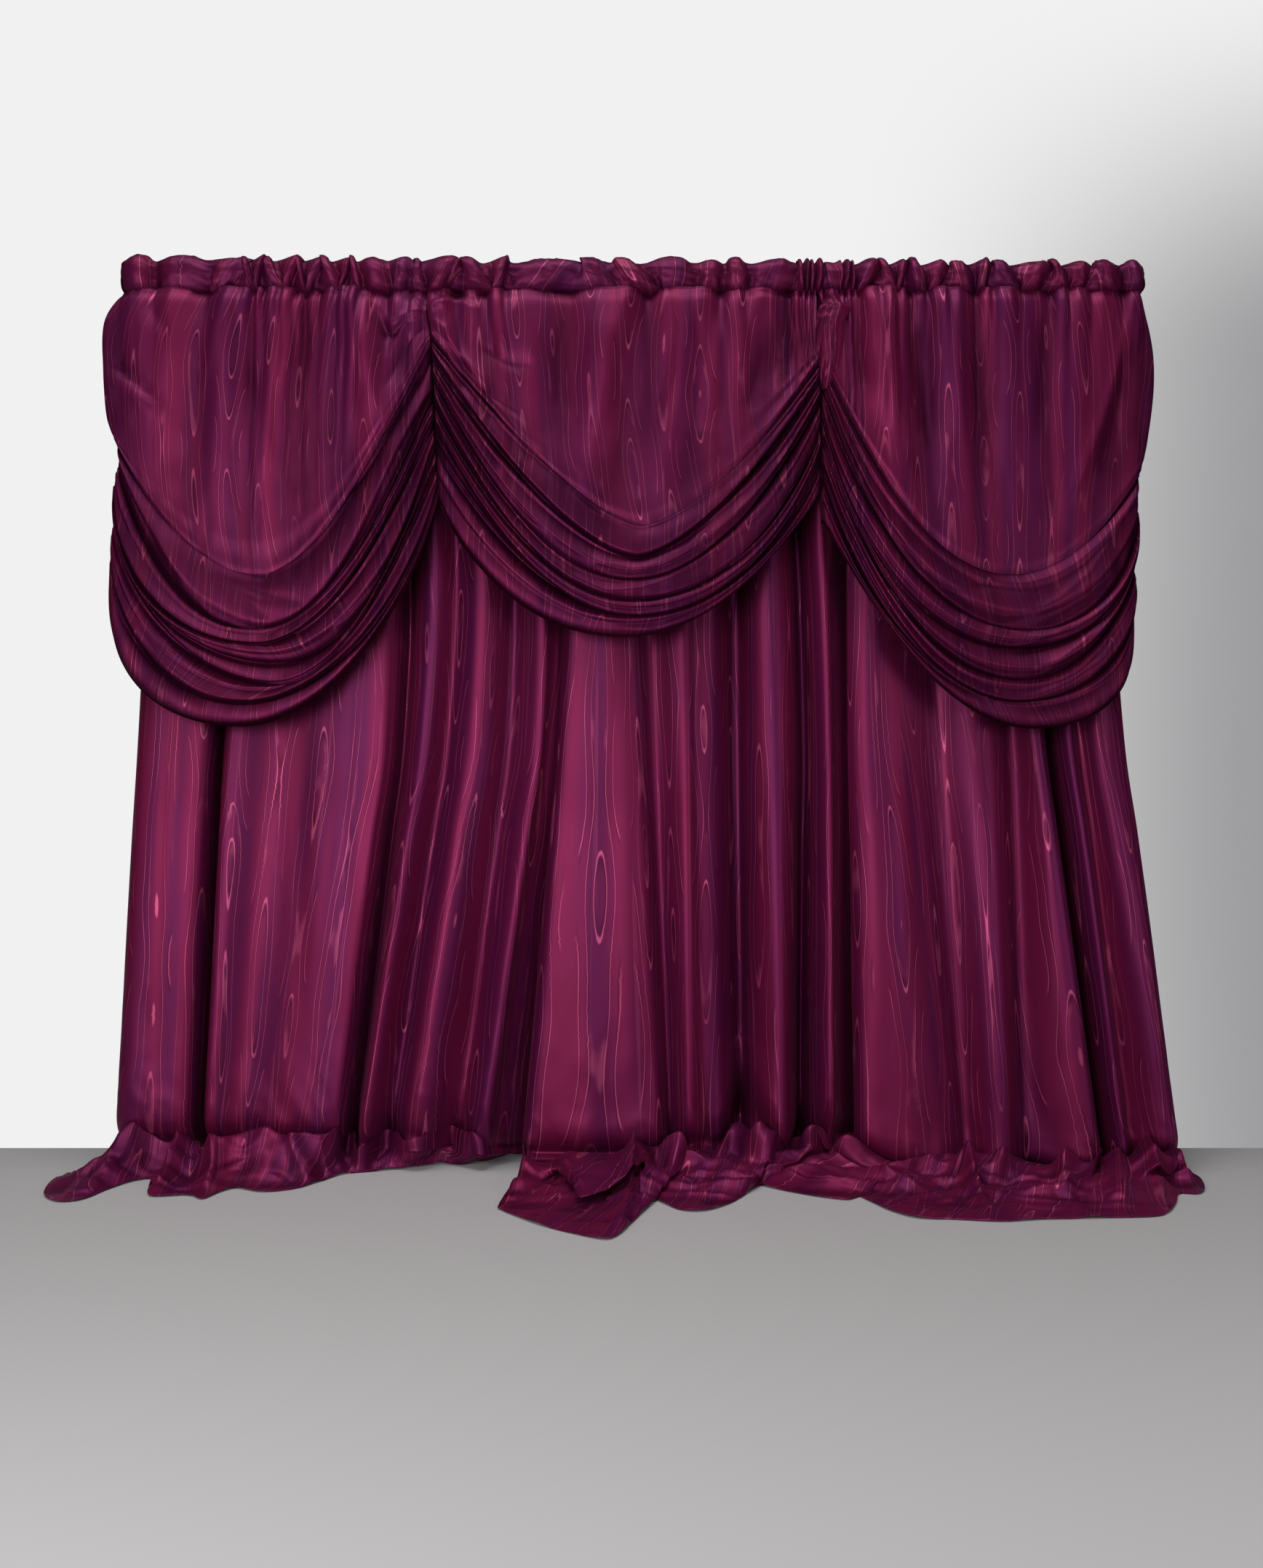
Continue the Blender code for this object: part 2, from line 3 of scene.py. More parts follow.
import bmesh
import bpy
import numpy as np
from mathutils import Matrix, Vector


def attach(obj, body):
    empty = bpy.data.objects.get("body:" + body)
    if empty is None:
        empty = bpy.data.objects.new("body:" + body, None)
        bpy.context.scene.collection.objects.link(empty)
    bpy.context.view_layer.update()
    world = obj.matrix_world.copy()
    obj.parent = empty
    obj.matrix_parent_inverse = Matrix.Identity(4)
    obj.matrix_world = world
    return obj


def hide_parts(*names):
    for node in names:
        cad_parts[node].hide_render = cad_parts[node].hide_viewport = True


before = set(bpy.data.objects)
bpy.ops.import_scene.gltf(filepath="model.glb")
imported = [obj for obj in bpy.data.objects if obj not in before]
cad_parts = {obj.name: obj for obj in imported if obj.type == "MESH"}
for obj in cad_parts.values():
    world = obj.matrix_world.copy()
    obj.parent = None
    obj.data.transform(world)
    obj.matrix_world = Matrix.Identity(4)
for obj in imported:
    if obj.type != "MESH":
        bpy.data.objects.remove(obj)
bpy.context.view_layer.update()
print("frame loaded")

# Metres, but millimetres in the swags' lines, bellies and creases and the floor's ridges. Heights in
# the tables are over the floor, and the frame's origin is the top edge.
milli = 0.001
drop = 2.60
seamHeight = 2.482         # the pocket's lower edge, where the swags and panels come out
clothThick = 0.0016
weldDistance = 0.00001
uvName = "OFBake"          # the name of the cloth's UV map, which the materials read; the map that the export keeps


# Camera, level, in front of the drape
camera = {"back": 4.365, "height": 1.09, "lens": 35.0, "sensor": 36.0}


def addCamera():
    data = bpy.data.cameras.new("camera")
    data.lens = camera["lens"]
    data.sensor_width = camera["sensor"]
    holder = bpy.data.objects.new("camera", data)
    holder.location = (0.0, -camera["back"], camera["height"] - drop)
    holder.rotation_euler = (math.radians(90.0), 0.0, 0.0)
    bpy.context.scene.collection.objects.link(holder)
    bpy.context.scene.camera = holder


addCamera()
print("camera placed")


# Shader maths: a wire is one socket, and an expression on wires adds its Math nodes
class Wire:
    def __init__(self, tree, socket=None):
        self.tree = tree
        self.socket = socket

    def node(self, kind, settings=None, inputs=None, output=0):
        made = self.tree.nodes.new(kind)
        for key, value in (settings or {}).items():
            setattr(made, key, value)
        for key, value in (inputs or {}).items():
            if isinstance(value, Wire):
                self.tree.links.new(value.socket, made.inputs[key])
            else:
                made.inputs[key].default_value = value
        return Wire(self.tree, made.outputs[output]) if len(made.outputs) else None

    def pick(self, output):
        return Wire(self.tree, self.socket.node.outputs[output])

    def maths(self, operation, *values):
        return self.node("ShaderNodeMath", {"operation": operation}, dict(enumerate(values)))

    def __add__(self, other):
        return self.maths("ADD", self, other)

    __radd__ = __add__

    def __sub__(self, other):
        return self.maths("SUBTRACT", self, other)

    def __rsub__(self, other):
        return self.maths("SUBTRACT", other, self)

    def __mul__(self, other):
        return self.maths("MULTIPLY", self, other)

    def noise(self, x, y, seed, detail):
        place = self.node("ShaderNodeCombineXYZ", None, {"X": x, "Y": y, "Z": seed})
        inputs = {"Vector": place, "Scale": 1.0, "Detail": detail}
        return self.node("ShaderNodeTexNoise", None, inputs, "Fac")

    def smooth(self, low, high, start=0.0, end=1.0):
        return self.node(
            "ShaderNodeMapRange", {"interpolation_type": "SMOOTHSTEP"},
            {"Value": self, "From Min": low, "From Max": high, "To Min": start, "To Max": end},
        )

    def blend(self, share, first, second):
        return self.node("ShaderNodeMix", {"data_type": "RGBA"}, {0: share, 6: first, 7: second}, 2)


clothLook = {
    "wine": (0.150, 0.007, 0.052, 1.0), "plum": (0.092, 0.005, 0.052, 1.0),
    "red": (0.175, 0.006, 0.036, 1.0), "bright": (0.520, 0.085, 0.190, 1.0),
    # deep is the painted shade colour that the cloth darkens towards in its folds, valleys and under the
    # swags
    "dark": (0.040, 0.001, 0.014, 1.0), "deep": (0.017, 0.0006, 0.011, 1.0),
    "column": 0.116,           # from one column of figures to the next, across the cloth
    "wander": 0.09,            # how far the columns drift sideways on their way down
    "ragged": (0.0020, 0.011), # least and most raggedness of the lines
    "levels": 1.9,             # lines between a column's side and its middle
    "hills": 5.5,              # how many more the slow changes along it add and take away
    "climb": 0.35,             # levels from one column up to the next
    "lineWidth": 0.09,         # in levels
    # How strongly each colour lies over the ground
    "redShare": 0.30, "streakShare": 0.12, "darkShare": 0.55, "fillShare": 0.34, "lineShare": 0.70,
    # Noises: changes in a metre across and along the cloth, a seed of their own, and detail
    "noises": {
        "drift": (3.0, 0.9, 0.0, 1.0), "jagged": (6.0, 2.2, 51.0, 1.0), "rags": (30.0, 95.0, 5.0, 2.0),
        "shown": (7.0, 2.6, 21.0, 1.5), "fill": (22.0, 5.0, 61.0, 2.0), "bands": (13.0, 0.45, 33.0, 1.5),
        "upright": (55.0, 0.6, 13.0, 1.0), "threads": (420.0, 1100.0, 3.0, 1.0),
    },
    # Where shade is painted the metallic rises towards the second value, which darkens those places further
    "metallic": 0.44, "paintedShadeMetallic": 0.85,    # for the coloured shine of satin
    "roughness": 0.46, "roughStreaks": 0.05, "lineShine": 0.07, "specular": 0.30,
    "sheen": 0.03, "sheenRoughness": 0.35,
    "sheenTint": (0.85, 0.30, 0.48, 1.0), "edgeTint": (0.92, 0.50, 0.66, 1.0),
    "bump": 0.30, "bumpHeight": 0.0006, "bumpStreaks": 0.2, "bumpThreads": 0.35, "bumpLines": 0.5,
}


def clothMaterial(name, width, length, seed):
    look = clothLook
    material = bpy.data.materials.new(name)
    material.use_nodes = True
    tree = material.node_tree
    tree.nodes.clear()
    w = Wire(tree)
    cloth = w.node("ShaderNodeUVMap", {"uv_map": uvName})
    sized = w.node(
        "ShaderNodeMapping", None,
        {"Vector": cloth, "Scale": (width, length, 1.0), "Location": (3.1 * seed, 1.7 * seed, 0.0)},
    )
    across = w.node("ShaderNodeSeparateXYZ", None, {0: sized}, "X")
    along = across.pick("Y")

    def noise(kind):
        byAcross, byAlong, own, detail = look["noises"][kind]
        return w.noise(across * byAcross, along * byAlong, seed + own, detail)

    # Watered figure: upright columns, each a long hill whose contour lines close into drops and
    # ovals where its height changes slowly on the way down
    drift = (noise("drift") - 0.5) * look["wander"]
    rags = (noise("rags") - 0.5) * noise("jagged").smooth(0.50, 0.68, *look["ragged"])
    place = (across + drift + rags) * (1.0 / look["column"])
    column = w.maths("FLOOR", place)
    aside = w.maths("ABSOLUTE", (place - column) * 2.0 - 1.0)
    peak = aside.smooth(0.02, 0.78, 1.0, 0.0)
    hill = w.noise(column * 7.31, along * 1.9, seed + 9.0, 1.0)
    field = peak * look["levels"] + hill * look["hills"] + place * look["climb"]
    level = w.maths("FLOOR", field)
    step = field - level
    wide = look["lineWidth"]
    line = step.smooth(0.0, 0.35 * wide) * step.smooth(0.65 * wide, 1.1 * wide, 1.0, 0.0)
    shade = step.smooth(0.9 * wide, 1.4 * wide) * step.smooth(1.6 * wide, 3.2 * wide, 1.0, 0.0)
    shown = noise("shown").smooth(0.32, 0.56, 0.30, 1.0) * aside.smooth(0.62, 0.80, 1.0, 0.0)
    fill = noise("fill").smooth(0.52, 0.66) * aside.smooth(0.15, 0.5, 1.0, 0.0)
    fill = fill * step.smooth(0.25, 0.5, 1.0, 0.0)
    tint = w.node("ShaderNodeTexWhiteNoise", {"noise_dimensions": "1D"}, {"W": level + seed}, "Value")
    upright = noise("upright")
    line = line * shown

    colour = w.blend(noise("bands").smooth(0.38, 0.62), look["plum"], look["wine"])
    colour = w.blend(tint * look["redShare"], colour, look["red"])
    colour = w.blend(upright.smooth(0.66, 0.70, 0.0, look["streakShare"]), colour, look["bright"])
    colour = w.blend(shade * shown * look["darkShare"], colour, look["dark"])
    colour = w.blend(fill * look["fillShare"], colour, look["bright"])
    colour = w.blend(line * look["lineShare"], colour, look["bright"])
    # Painted shade: the depth attribute darkens the base colour towards the deep colour in folds, valleys,
    # under the swags and near the floor
    depth = w.node("ShaderNodeAttribute", {"attribute_name": "depth"}, None, "Fac")
    colour = w.blend(depth, look["deep"], colour)

    height = upright * look["bumpStreaks"] + noise("threads") * look["bumpThreads"]
    bump = w.node("ShaderNodeBump", None, {
        "Strength": look["bump"], "Distance": look["bumpHeight"],
        "Height": height + line * look["bumpLines"],
    })
    shader = w.node("ShaderNodeBsdfPrincipled", None, {
        "Base Color": colour, "Normal": bump,
        "Roughness": look["roughness"] + (upright - 0.5) * look["roughStreaks"] - line * look["lineShine"],
        "Metallic": depth.smooth(0.1, 0.9, look["paintedShadeMetallic"], look["metallic"]),
        "Sheen Weight": look["sheen"], "Sheen Roughness": look["sheenRoughness"],
        "Sheen Tint": look["sheenTint"], "Specular Tint": look["edgeTint"],
        "Specular IOR Level": look["specular"],
    })
    w.node("ShaderNodeOutputMaterial", None, {"Surface": shader})
    return material


print("materials ready")


# Shape helpers, on numpy arrays
def mix(a, b, share):
    return a + (b - a) * share


def softNoise(x, y, seed):
    # Smooth value noise from -1 to 1, the same each run
    left, low = np.floor(x), np.floor(y)
    u, v = x - left, y - low
    u, v = u * u * (3.0 - 2.0 * u), v * v * (3.0 - 2.0 * v)

    def corner(i, j):
        value = np.sin((left + i) * 127.1 + (low + j) * 311.7 + seed * 74.7) * 43758.5453
        return 2.0 * (value - np.floor(value)) - 1.0

    bottom = mix(corner(0, 0), corner(1, 0), u)
    return mix(bottom, mix(corner(0, 1), corner(1, 1), u), v)


def throughRows(rows, at):
    # Catmull-Rom curve through the rows of an array, read at fractional row numbers
    rows = np.asarray(rows, float)
    at = np.asarray(at, float)
    last = len(rows) - 1
    index = np.clip(np.floor(at).astype(int), 0, last - 1)
    t = (at - index).reshape((-1,) + (1,) * (rows.ndim - 1))
    padded = np.concatenate([2.0 * rows[:1] - rows[1:2], rows, 2.0 * rows[-1:] - rows[-2:-1]])
    behind, here, ahead, beyond = (padded[index + k] for k in range(4))
    slope = (ahead - behind) * t
    bend = (2.0 * behind - 5.0 * here + 4.0 * ahead - beyond) * t ** 2
    twist = (3.0 * here - behind - 3.0 * ahead + beyond) * t ** 3
    return 0.5 * (2.0 * here + slope + bend + twist)


def crest(distance, width):
    # A soft ridge that is sharper at its top than a hump
    soft = 0.4 * width
    return np.exp(-(np.sqrt(distance ** 2 + soft ** 2) - soft) / width)


def nearLine(x, z, points):
    # Distance from a line of straight stretches, and the share of its length at the nearest point
    points = np.asarray(points, float)
    steps = points[1:] - points[:-1]
    lengths = np.hypot(steps[:, 0], steps[:, 1])
    start = np.concatenate([[0.0], np.cumsum(lengths)])
    best = np.full(x.shape, np.inf)
    share = np.zeros(x.shape)
    for k, (begin, step, length) in enumerate(zip(points, steps, lengths)):
        dx, dz = x - begin[0], z - begin[1]
        t = np.clip((dx * step[0] + dz * step[1]) / length ** 2, 0.0, 1.0)
        away = np.hypot(dx - t * step[0], dz - t * step[1])
        closer = away < best
        best = np.where(closer, away, best)
        share = np.where(closer, (start[k] + t * length) / start[-1], share)
    return best, share


def creaseDepth(x, z, creases):
    # Outward depth of ridges (plus) and troughs (minus) drawn on the cloth's front
    total = np.zeros(x.shape)
    for depth, width, *points in creases:
        away, share = nearLine(x, z, milli * np.reshape(points, (-1, 2)))
        fade = np.sin(np.pi * np.clip(share, 0.02, 0.98)) ** 0.5
        total += milli * depth * fade * crest(away, milli * width)
    return total


def clothGrid(name, across, down, place, wrap=False):
    # place takes arrays of column and row shares and returns points, the map's u and v, and the painted
    # light: 1 on the cloth's ridges and less down in its folds, where shade is painted into its colour
    mesh = bpy.data.meshes.new(name)
    grid = bmesh.new()
    bmesh.ops.create_grid(grid, x_segments=across, y_segments=down, size=0.5)
    grid.to_mesh(mesh)
    grid.free()
    flat = np.empty(len(mesh.vertices) * 3, np.float32)
    mesh.vertices.foreach_get("co", flat)
    flat = flat.reshape(-1, 3)
    column = np.rint((flat[:, 0] + 0.5) * across).astype(int)
    row = np.rint((0.5 - flat[:, 1]) * down).astype(int)
    columnShares, rowShares = np.linspace(0.0, 1.0, across + 1), np.linspace(0.0, 1.0, down + 1)
    points, u, v, paintedLight = place(columnShares, rowShares)
    placed = points[row, column]
    placed[:, 2] -= drop
    mesh.vertices.foreach_set("co", placed.astype(np.float32).ravel())
    corner = np.empty(len(mesh.loops), np.int32)
    mesh.loops.foreach_get("vertex_index", corner)
    layer = mesh.uv_layers.new(name=uvName)
    at = np.stack([u[row, column], v[row, column]], 1)[corner]
    layer.uv.foreach_set("vector", at.astype(np.float32).ravel())
    # The painted light is stored as the attribute depth, which darkens the base colour where shade is painted
    depth = mesh.attributes.new("depth", "FLOAT", "POINT")
    depth.data.foreach_set("value", paintedLight[row, column].astype(np.float32))
    shape = bmesh.new()
    shape.from_mesh(mesh)
    if wrap:
        bmesh.ops.remove_doubles(shape, verts=shape.verts, dist=weldDistance)
    bmesh.ops.recalc_face_normals(shape, faces=shape.faces)
    shape.to_mesh(mesh)
    shape.free()
    mesh.shade_smooth()
    piece = bpy.data.objects.new(name, mesh)
    bpy.context.scene.collection.objects.link(piece)
    return piece


def wrinkles(table, x, z, seed):
    # Sum of soft noises: depth, changes in a metre along x and z, and a seed of its own
    return sum(depth * softNoise(x * byX, z * byZ, seed + own) for depth, byX, byZ, own in table)


def lengths(points):
    # Running length down each column and across each row
    down = np.linalg.norm(np.diff(points, axis=0), axis=2)
    down = np.concatenate([np.zeros((1, points.shape[1])), np.cumsum(down, axis=0)])
    over = np.linalg.norm(np.diff(points, axis=1), axis=2)
    over = np.concatenate([np.zeros((points.shape[0], 1)), np.cumsum(over, axis=1)], axis=1)
    return over, down


def finishSheet(piece, node, flat, seed, cut=None):
    width, length = flat
    piece.data.materials.append(clothMaterial(node + "_moire", width, length, seed))
    thicken = piece.modifiers.new("thickness", "SOLIDIFY")
    thicken.thickness = clothThick
    thicken.offset = 0.0
    thicken.use_even_offset = False
    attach(piece, "root")
    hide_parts(node)
    area = sum(face.area for face in piece.data.polygons)
    share = round(area / (width * length), 2)
    print(node, len(piece.data.polygons), "faces, share of the flat cloth", share)


# Rod pocket. Stretch: start, end, puffs, swell, and small pleats to a puff with their depth
pocket = {
    "height": 2.5425, "halfHeight": 0.051, "halfDepth": 0.031, "sinks": 0.007, "thins": 0.009,
    "pinch": 0.6, "underside": 0.15, "back": 0.3, "leftEnd": -1.45, "long": 2.9,
    "uneven": 0.35, "slant": 0.45, "straightFrom": 1.33,
    "rises": 0.3, "peaks": 0.62, "pinches": 0.97,      # shares of a puff's width
    "crinkle": 0.0025, "lean": 0.004,
    # Painted light of the whole pocket, a little darker than the other pieces, and painted shade at its
    # pinches and underside
    "paintedLightLevel": 0.84, "pinchShade": 0.45, "underShade": 0.25,
    "around": 44, "along": 1000, "flat": (3.6, 0.30),
    "stretches": [
        (-1.454, -1.355, 1, 0.014, 1, 0.002),
        (-1.355, -1.110, 2, 0.007, 2, 0.003),
        (-1.110, -0.770, 9, 0.010, 1, 0.003),
        (-0.770, -0.585, 3, 0.007, 1, 0.003),
        (-0.585, -0.350, 3, 0.013, 1, 0.004),
        (-0.350, -0.040, 2, 0.008, 2, 0.004),
        (-0.040, 0.060, 1, 0.014, 1, 0.003),
        (0.060, 0.470, 4, 0.010, 2, 0.003),
        (0.470, 0.548, 4, 0.009, 1, 0.002),
        (0.548, 0.590, 1, 0.001, 1, 0.000),
        (0.590, 0.640, 3, 0.009, 1, 0.002),
        (0.640, 0.900, 5, 0.012, 1, 0.004),
        (0.900, 1.400, 7, 0.010, 2, 0.004),
        (1.400, 1.464, 1, 0.012, 1, 0.002),
    ],
}


def pocketStations():
    # X, swell, slant, roll and small pleats of each puff and of the pinch after it
    start, swell = pocket["stretches"][0][0], pocket["stretches"][0][3]
    stations = [(start, -pocket["pinch"] * swell, 0.0, 0.0, 1.0, 0.0)]
    for start, end, puffs, swell, pleats, depth in pocket["stretches"]:
        wave = [31.0 * start + 1.9 * puff for puff in range(puffs)]
        widths = [1.0 + pocket["uneven"] * math.sin(phase) for phase in wave]
        unit = (end - start) / sum(widths)
        for phase, width in zip(wave, widths):
            pitch = unit * width
            slanted = min(1.0, max(0.0, 8.0 * (pocket["straightFrom"] - abs(start))))
            slant = pocket["slant"] * pitch * math.sin(1.7 * phase) * slanted
            roll = 0.5 * math.pi * (0.5 + 0.5 * math.sin(2.3 * phase))
            high = swell * (0.75 + 0.25 * math.sin(1.3 * phase))
            pinch = -pocket["pinch"] * swell
            for where, rise in (("rises", 0.9 * high), ("peaks", high), ("pinches", pinch)):
                stations.append((start + pocket[where] * pitch, rise, slant, roll, pleats, depth))
            start += pitch
    return np.array(stations)


pocketPuffs = pocketStations()


def addPocket():
    def place(u, v):
        at = v * (len(pocketPuffs) - 1)
        x, swell, slant, roll, pleats, depth = throughRows(pocketPuffs, at).T[:, :, None]
        angle = 2.0 * np.pi * u[None, :]
        up, front = np.cos(angle), np.sin(angle)
        puffed = np.where(swell > 0.0, swell * (0.8 + 0.4 * np.cos(angle - roll)), swell)
        wobble = softNoise(x * 26.0 + 3.0 * up, 2.0 * front + 0.0 * x, 4.0)
        phase = at[:, None] / 3.0 * pleats + 0.35 * wobble + 0.12 * up
        low = 0.45 + 0.55 * np.clip(front - 0.6 * up, 0.0, 1.0)
        fine = depth * low * (np.abs(np.sin(np.pi * phase)) ** 0.7 - 0.55)
        fine = fine + pocket["crinkle"] * softNoise(x * 60.0 + 8.0 * up, 3.0 * angle, 8.0)
        stands = puffed + fine
        half = pocket["halfDepth"] + stands * np.where(front > 0.0, 1.0, pocket["back"])
        under = mix(pocket["underside"], 0.75, np.clip(front, 0.0, 1.0))
        rightwards = np.clip((x - pocket["leftEnd"]) / pocket["long"], 0.0, 1.0)
        tall = pocket["halfHeight"] - pocket["thins"] * rightwards
        tall = tall + stands * np.where(up > 0.0, 1.0, under)
        middle = pocket["height"] - pocket["sinks"] * rightwards
        lean = pocket["lean"] * softNoise(x * 34.0, 1.3 * angle, 2.0)
        points = np.stack([x + slant * up + lean, -front * half, middle + up * tall], 2)
        points[:, -1] = points[:, 0]
        shareAround = np.broadcast_to(u[None, :], points.shape[:2])
        shareAlong = np.broadcast_to(v[:, None], points.shape[:2])
        # Painted shade at the pinches and on the underside of the pocket
        pinched = np.clip((0.003 - puffed) / 0.010, 0.0, 1.0)
        shade = pocket["pinchShade"] * pinched + pocket["underShade"] * np.clip(-up, 0.0, 1.0)
        return points, shareAlong, shareAround, pocket["paintedLightLevel"] - shade

    piece = clothGrid("pocket_cloth", pocket["around"], pocket["along"], place, wrap=True)
    finishSheet(piece, "heading", pocket["flat"], 1.0)


addPocket()


# Swags. A line is one level line of the cloth, hanging as a U: its left end, lowest point and right
# end, how full it is on either side, how far its middle and its ends stand out, and its tuck.
# Belly: X at the top and at the folds, depth and width. Gathers: start, end, how many in a metre and
# depth. Crease: depth, width, then X and Z of the points that it runs through. Seams: which sides are
# sewn, left and right. Under: which lie behind the next swag.
swagShape = {
    "tuckRise": 12, "tuckShare": 0.4, "edgeTuck": 8, "evenShare": 0.5,      # tucks in millimetres
    "columns": 164, "bellyRows": 11, "rollRows": 22, "tuckRows": 8,
    "roll": 0.021, "belly": 1.5, "bellyTrough": 0.35,
    "puffReach": [(0.9, 0.12), (0.5, 0.35)],       # share of the pocket's puffs, and how far down
    "gatherReach": 0.11,
    "pleatsPerLine": 1.9, "pleatCrest": 0.86, "pleatDepth": 0.0065,
    "fanDepth": 0.0075, "fanReach": 0.16, "fanFree": 0.12,
    "seamGroove": 0.003, "grooveWidth": 0.006, "plainAtSeam": 0.007,
    "lap": 0.0045, "lapWidth": 0.006,
    "blouse": 0.012, "blouseReach": 0.20, "blouseEdge": 0.012,
    "wrinkles": [(0.0022, 14.0, 9.0, 2.0), (0.0012, 38.0, 16.0, 3.0)],
    # Painted shade in the fold zone and in the belly's valleys, painted light on the rolls and pleats, and
    # the least value
    "foldShade": 0.98, "rollLight": 0.38, "pleatLight": 0.30, "valleyShade": 0.45, "darkest": 0.1,
}
soft, round_, boxy, steep, full = (2.0, 1.0), (2.0, 2.0), (2.0, 3.0), (1.6, 1.0), (2.2, 1.2)

swagLeft = {
    "lines": [
        ((-1447, 2504), (-1015, 2504), (-587, 2504), soft, soft, 8, 8, 0),
        ((-1500, 2400), (-1035, 2335), (-588, 2450), soft, soft, 40, 30, 0),
        ((-1500, 2250), (-1045, 2125), (-586, 2420), soft, soft, 58, 34, 0),
        ((-1490, 2135), (-1055, 1895), (-581, 2385), soft, soft, 75, 38, 0),
        ((-1465, 2070), (-1030, 1670), (-576, 2345), soft, steep, 95, 45, 8),
        ((-1448, 2020), (-1045, 1520), (-568, 2200), full, soft, 118, 52, 30),
        ((-1458, 1965), (-1040, 1478), (-565, 2120), (2.0, 2.5), soft, 128, 55, 26),
        ((-1466, 1920), (-990, 1430), (-562, 2055), round_, full, 132, 57, 36),
        ((-1460, 1870), (-985, 1365), (-558, 1995), (2.0, 1.5), soft, 130, 57, 34),
        ((-1470, 1790), (-1085, 1315), (-555, 1950), round_, (2.0, 1.5), 122, 56, 34),
        ((-1477, 1710), (-1100, 1255), (-552, 1905), boxy, (2.0, 1.35), 100, 50, 45),
        ((-1465, 1730), (-1100, 1300), (-553, 1915), boxy, soft, 50, 38, 0),
    ],
    "bellies": [
        (-1330, -1340, 12, 70), (-1135, -1180, 16, 55), (-1020, -1040, 16, 55), (-805, -700, 20, 50),
    ],
    "gathers": [(-1.11, -0.77, 30.0, 0.005), (-0.77, -0.6, 20.0, 0.004)],
    "seams": (0.0, 1.0), "under": (0.0, 1.0),
    "creases": [
        (-6, 12, -1149, 1658, -1024, 1618, -884, 1591),
        (-5, 10, -1133, 1634, -978, 1536),
        (9, 14, -1345, 1860, -1306, 1744, -1243, 1634, -1165, 1556, -1071, 1518, -986, 1509, -914, 1548,
            -806, 1658, -712, 1783, -649, 1860),
        (8, 12, -1414, 1783, -1384, 1681, -1298, 1579, -1212, 1524, -1102, 1481, -1041, 1477, -947, 1501,
            -806, 1595, -712, 1681),
        (9, 12, -1102, 1477, -986, 1467, -914, 1477, -790, 1548, -696, 1650, -635, 1783),
        (10, 13, -1227, 1471, -1141, 1416, -1041, 1377, -961, 1360, -900, 1385, -790, 1454),
        (8, 14, -1431, 1664, -1376, 1524, -1298, 1424, -1180, 1330, -1086, 1320, -986, 1330, -867, 1391,
            -727, 1493, -635, 1626, -555, 1783),
        (-12, 14, -1480, 2290, -1400, 2230, -1324, 2167),
        (10, 20, -1480, 2250, -1410, 2190, -1340, 2130),
        (-8, 16, -1376, 2464, -1306, 2354),
        (-10, 22, -1041, 2503, -1041, 2146),
        (12, 30, -790, 2495, -735, 2240, -673, 1987),
        (-16, 13, -735, 2440, -694, 2366, -673, 2364, -648, 2397, -590, 2416),
        (12, 10, -722, 2465, -690, 2396, -668, 2394, -635, 2424, -588, 2436),
        (-8, 6, -588, 2437, -621, 2476, -658, 2468),
        (8, 8, -586, 2424, -640, 2400, -690, 2290),
        (-10, 10, -584, 2395, -640, 2330, -690, 2210),
        (-14, 16, -925, 2470, -925, 2360, -935, 2240),
        (12, 16, -955, 2480, -960, 2360, -975, 2230),
        (-14, 18, -1075, 2480, -1085, 2300, -1060, 2120),
        (12, 22, -1140, 2500, -1180, 2380, -1210, 2200),
    ],
    "flat": (1.15, 2.0), "cut": 1.7, "seed": 2.0,
}
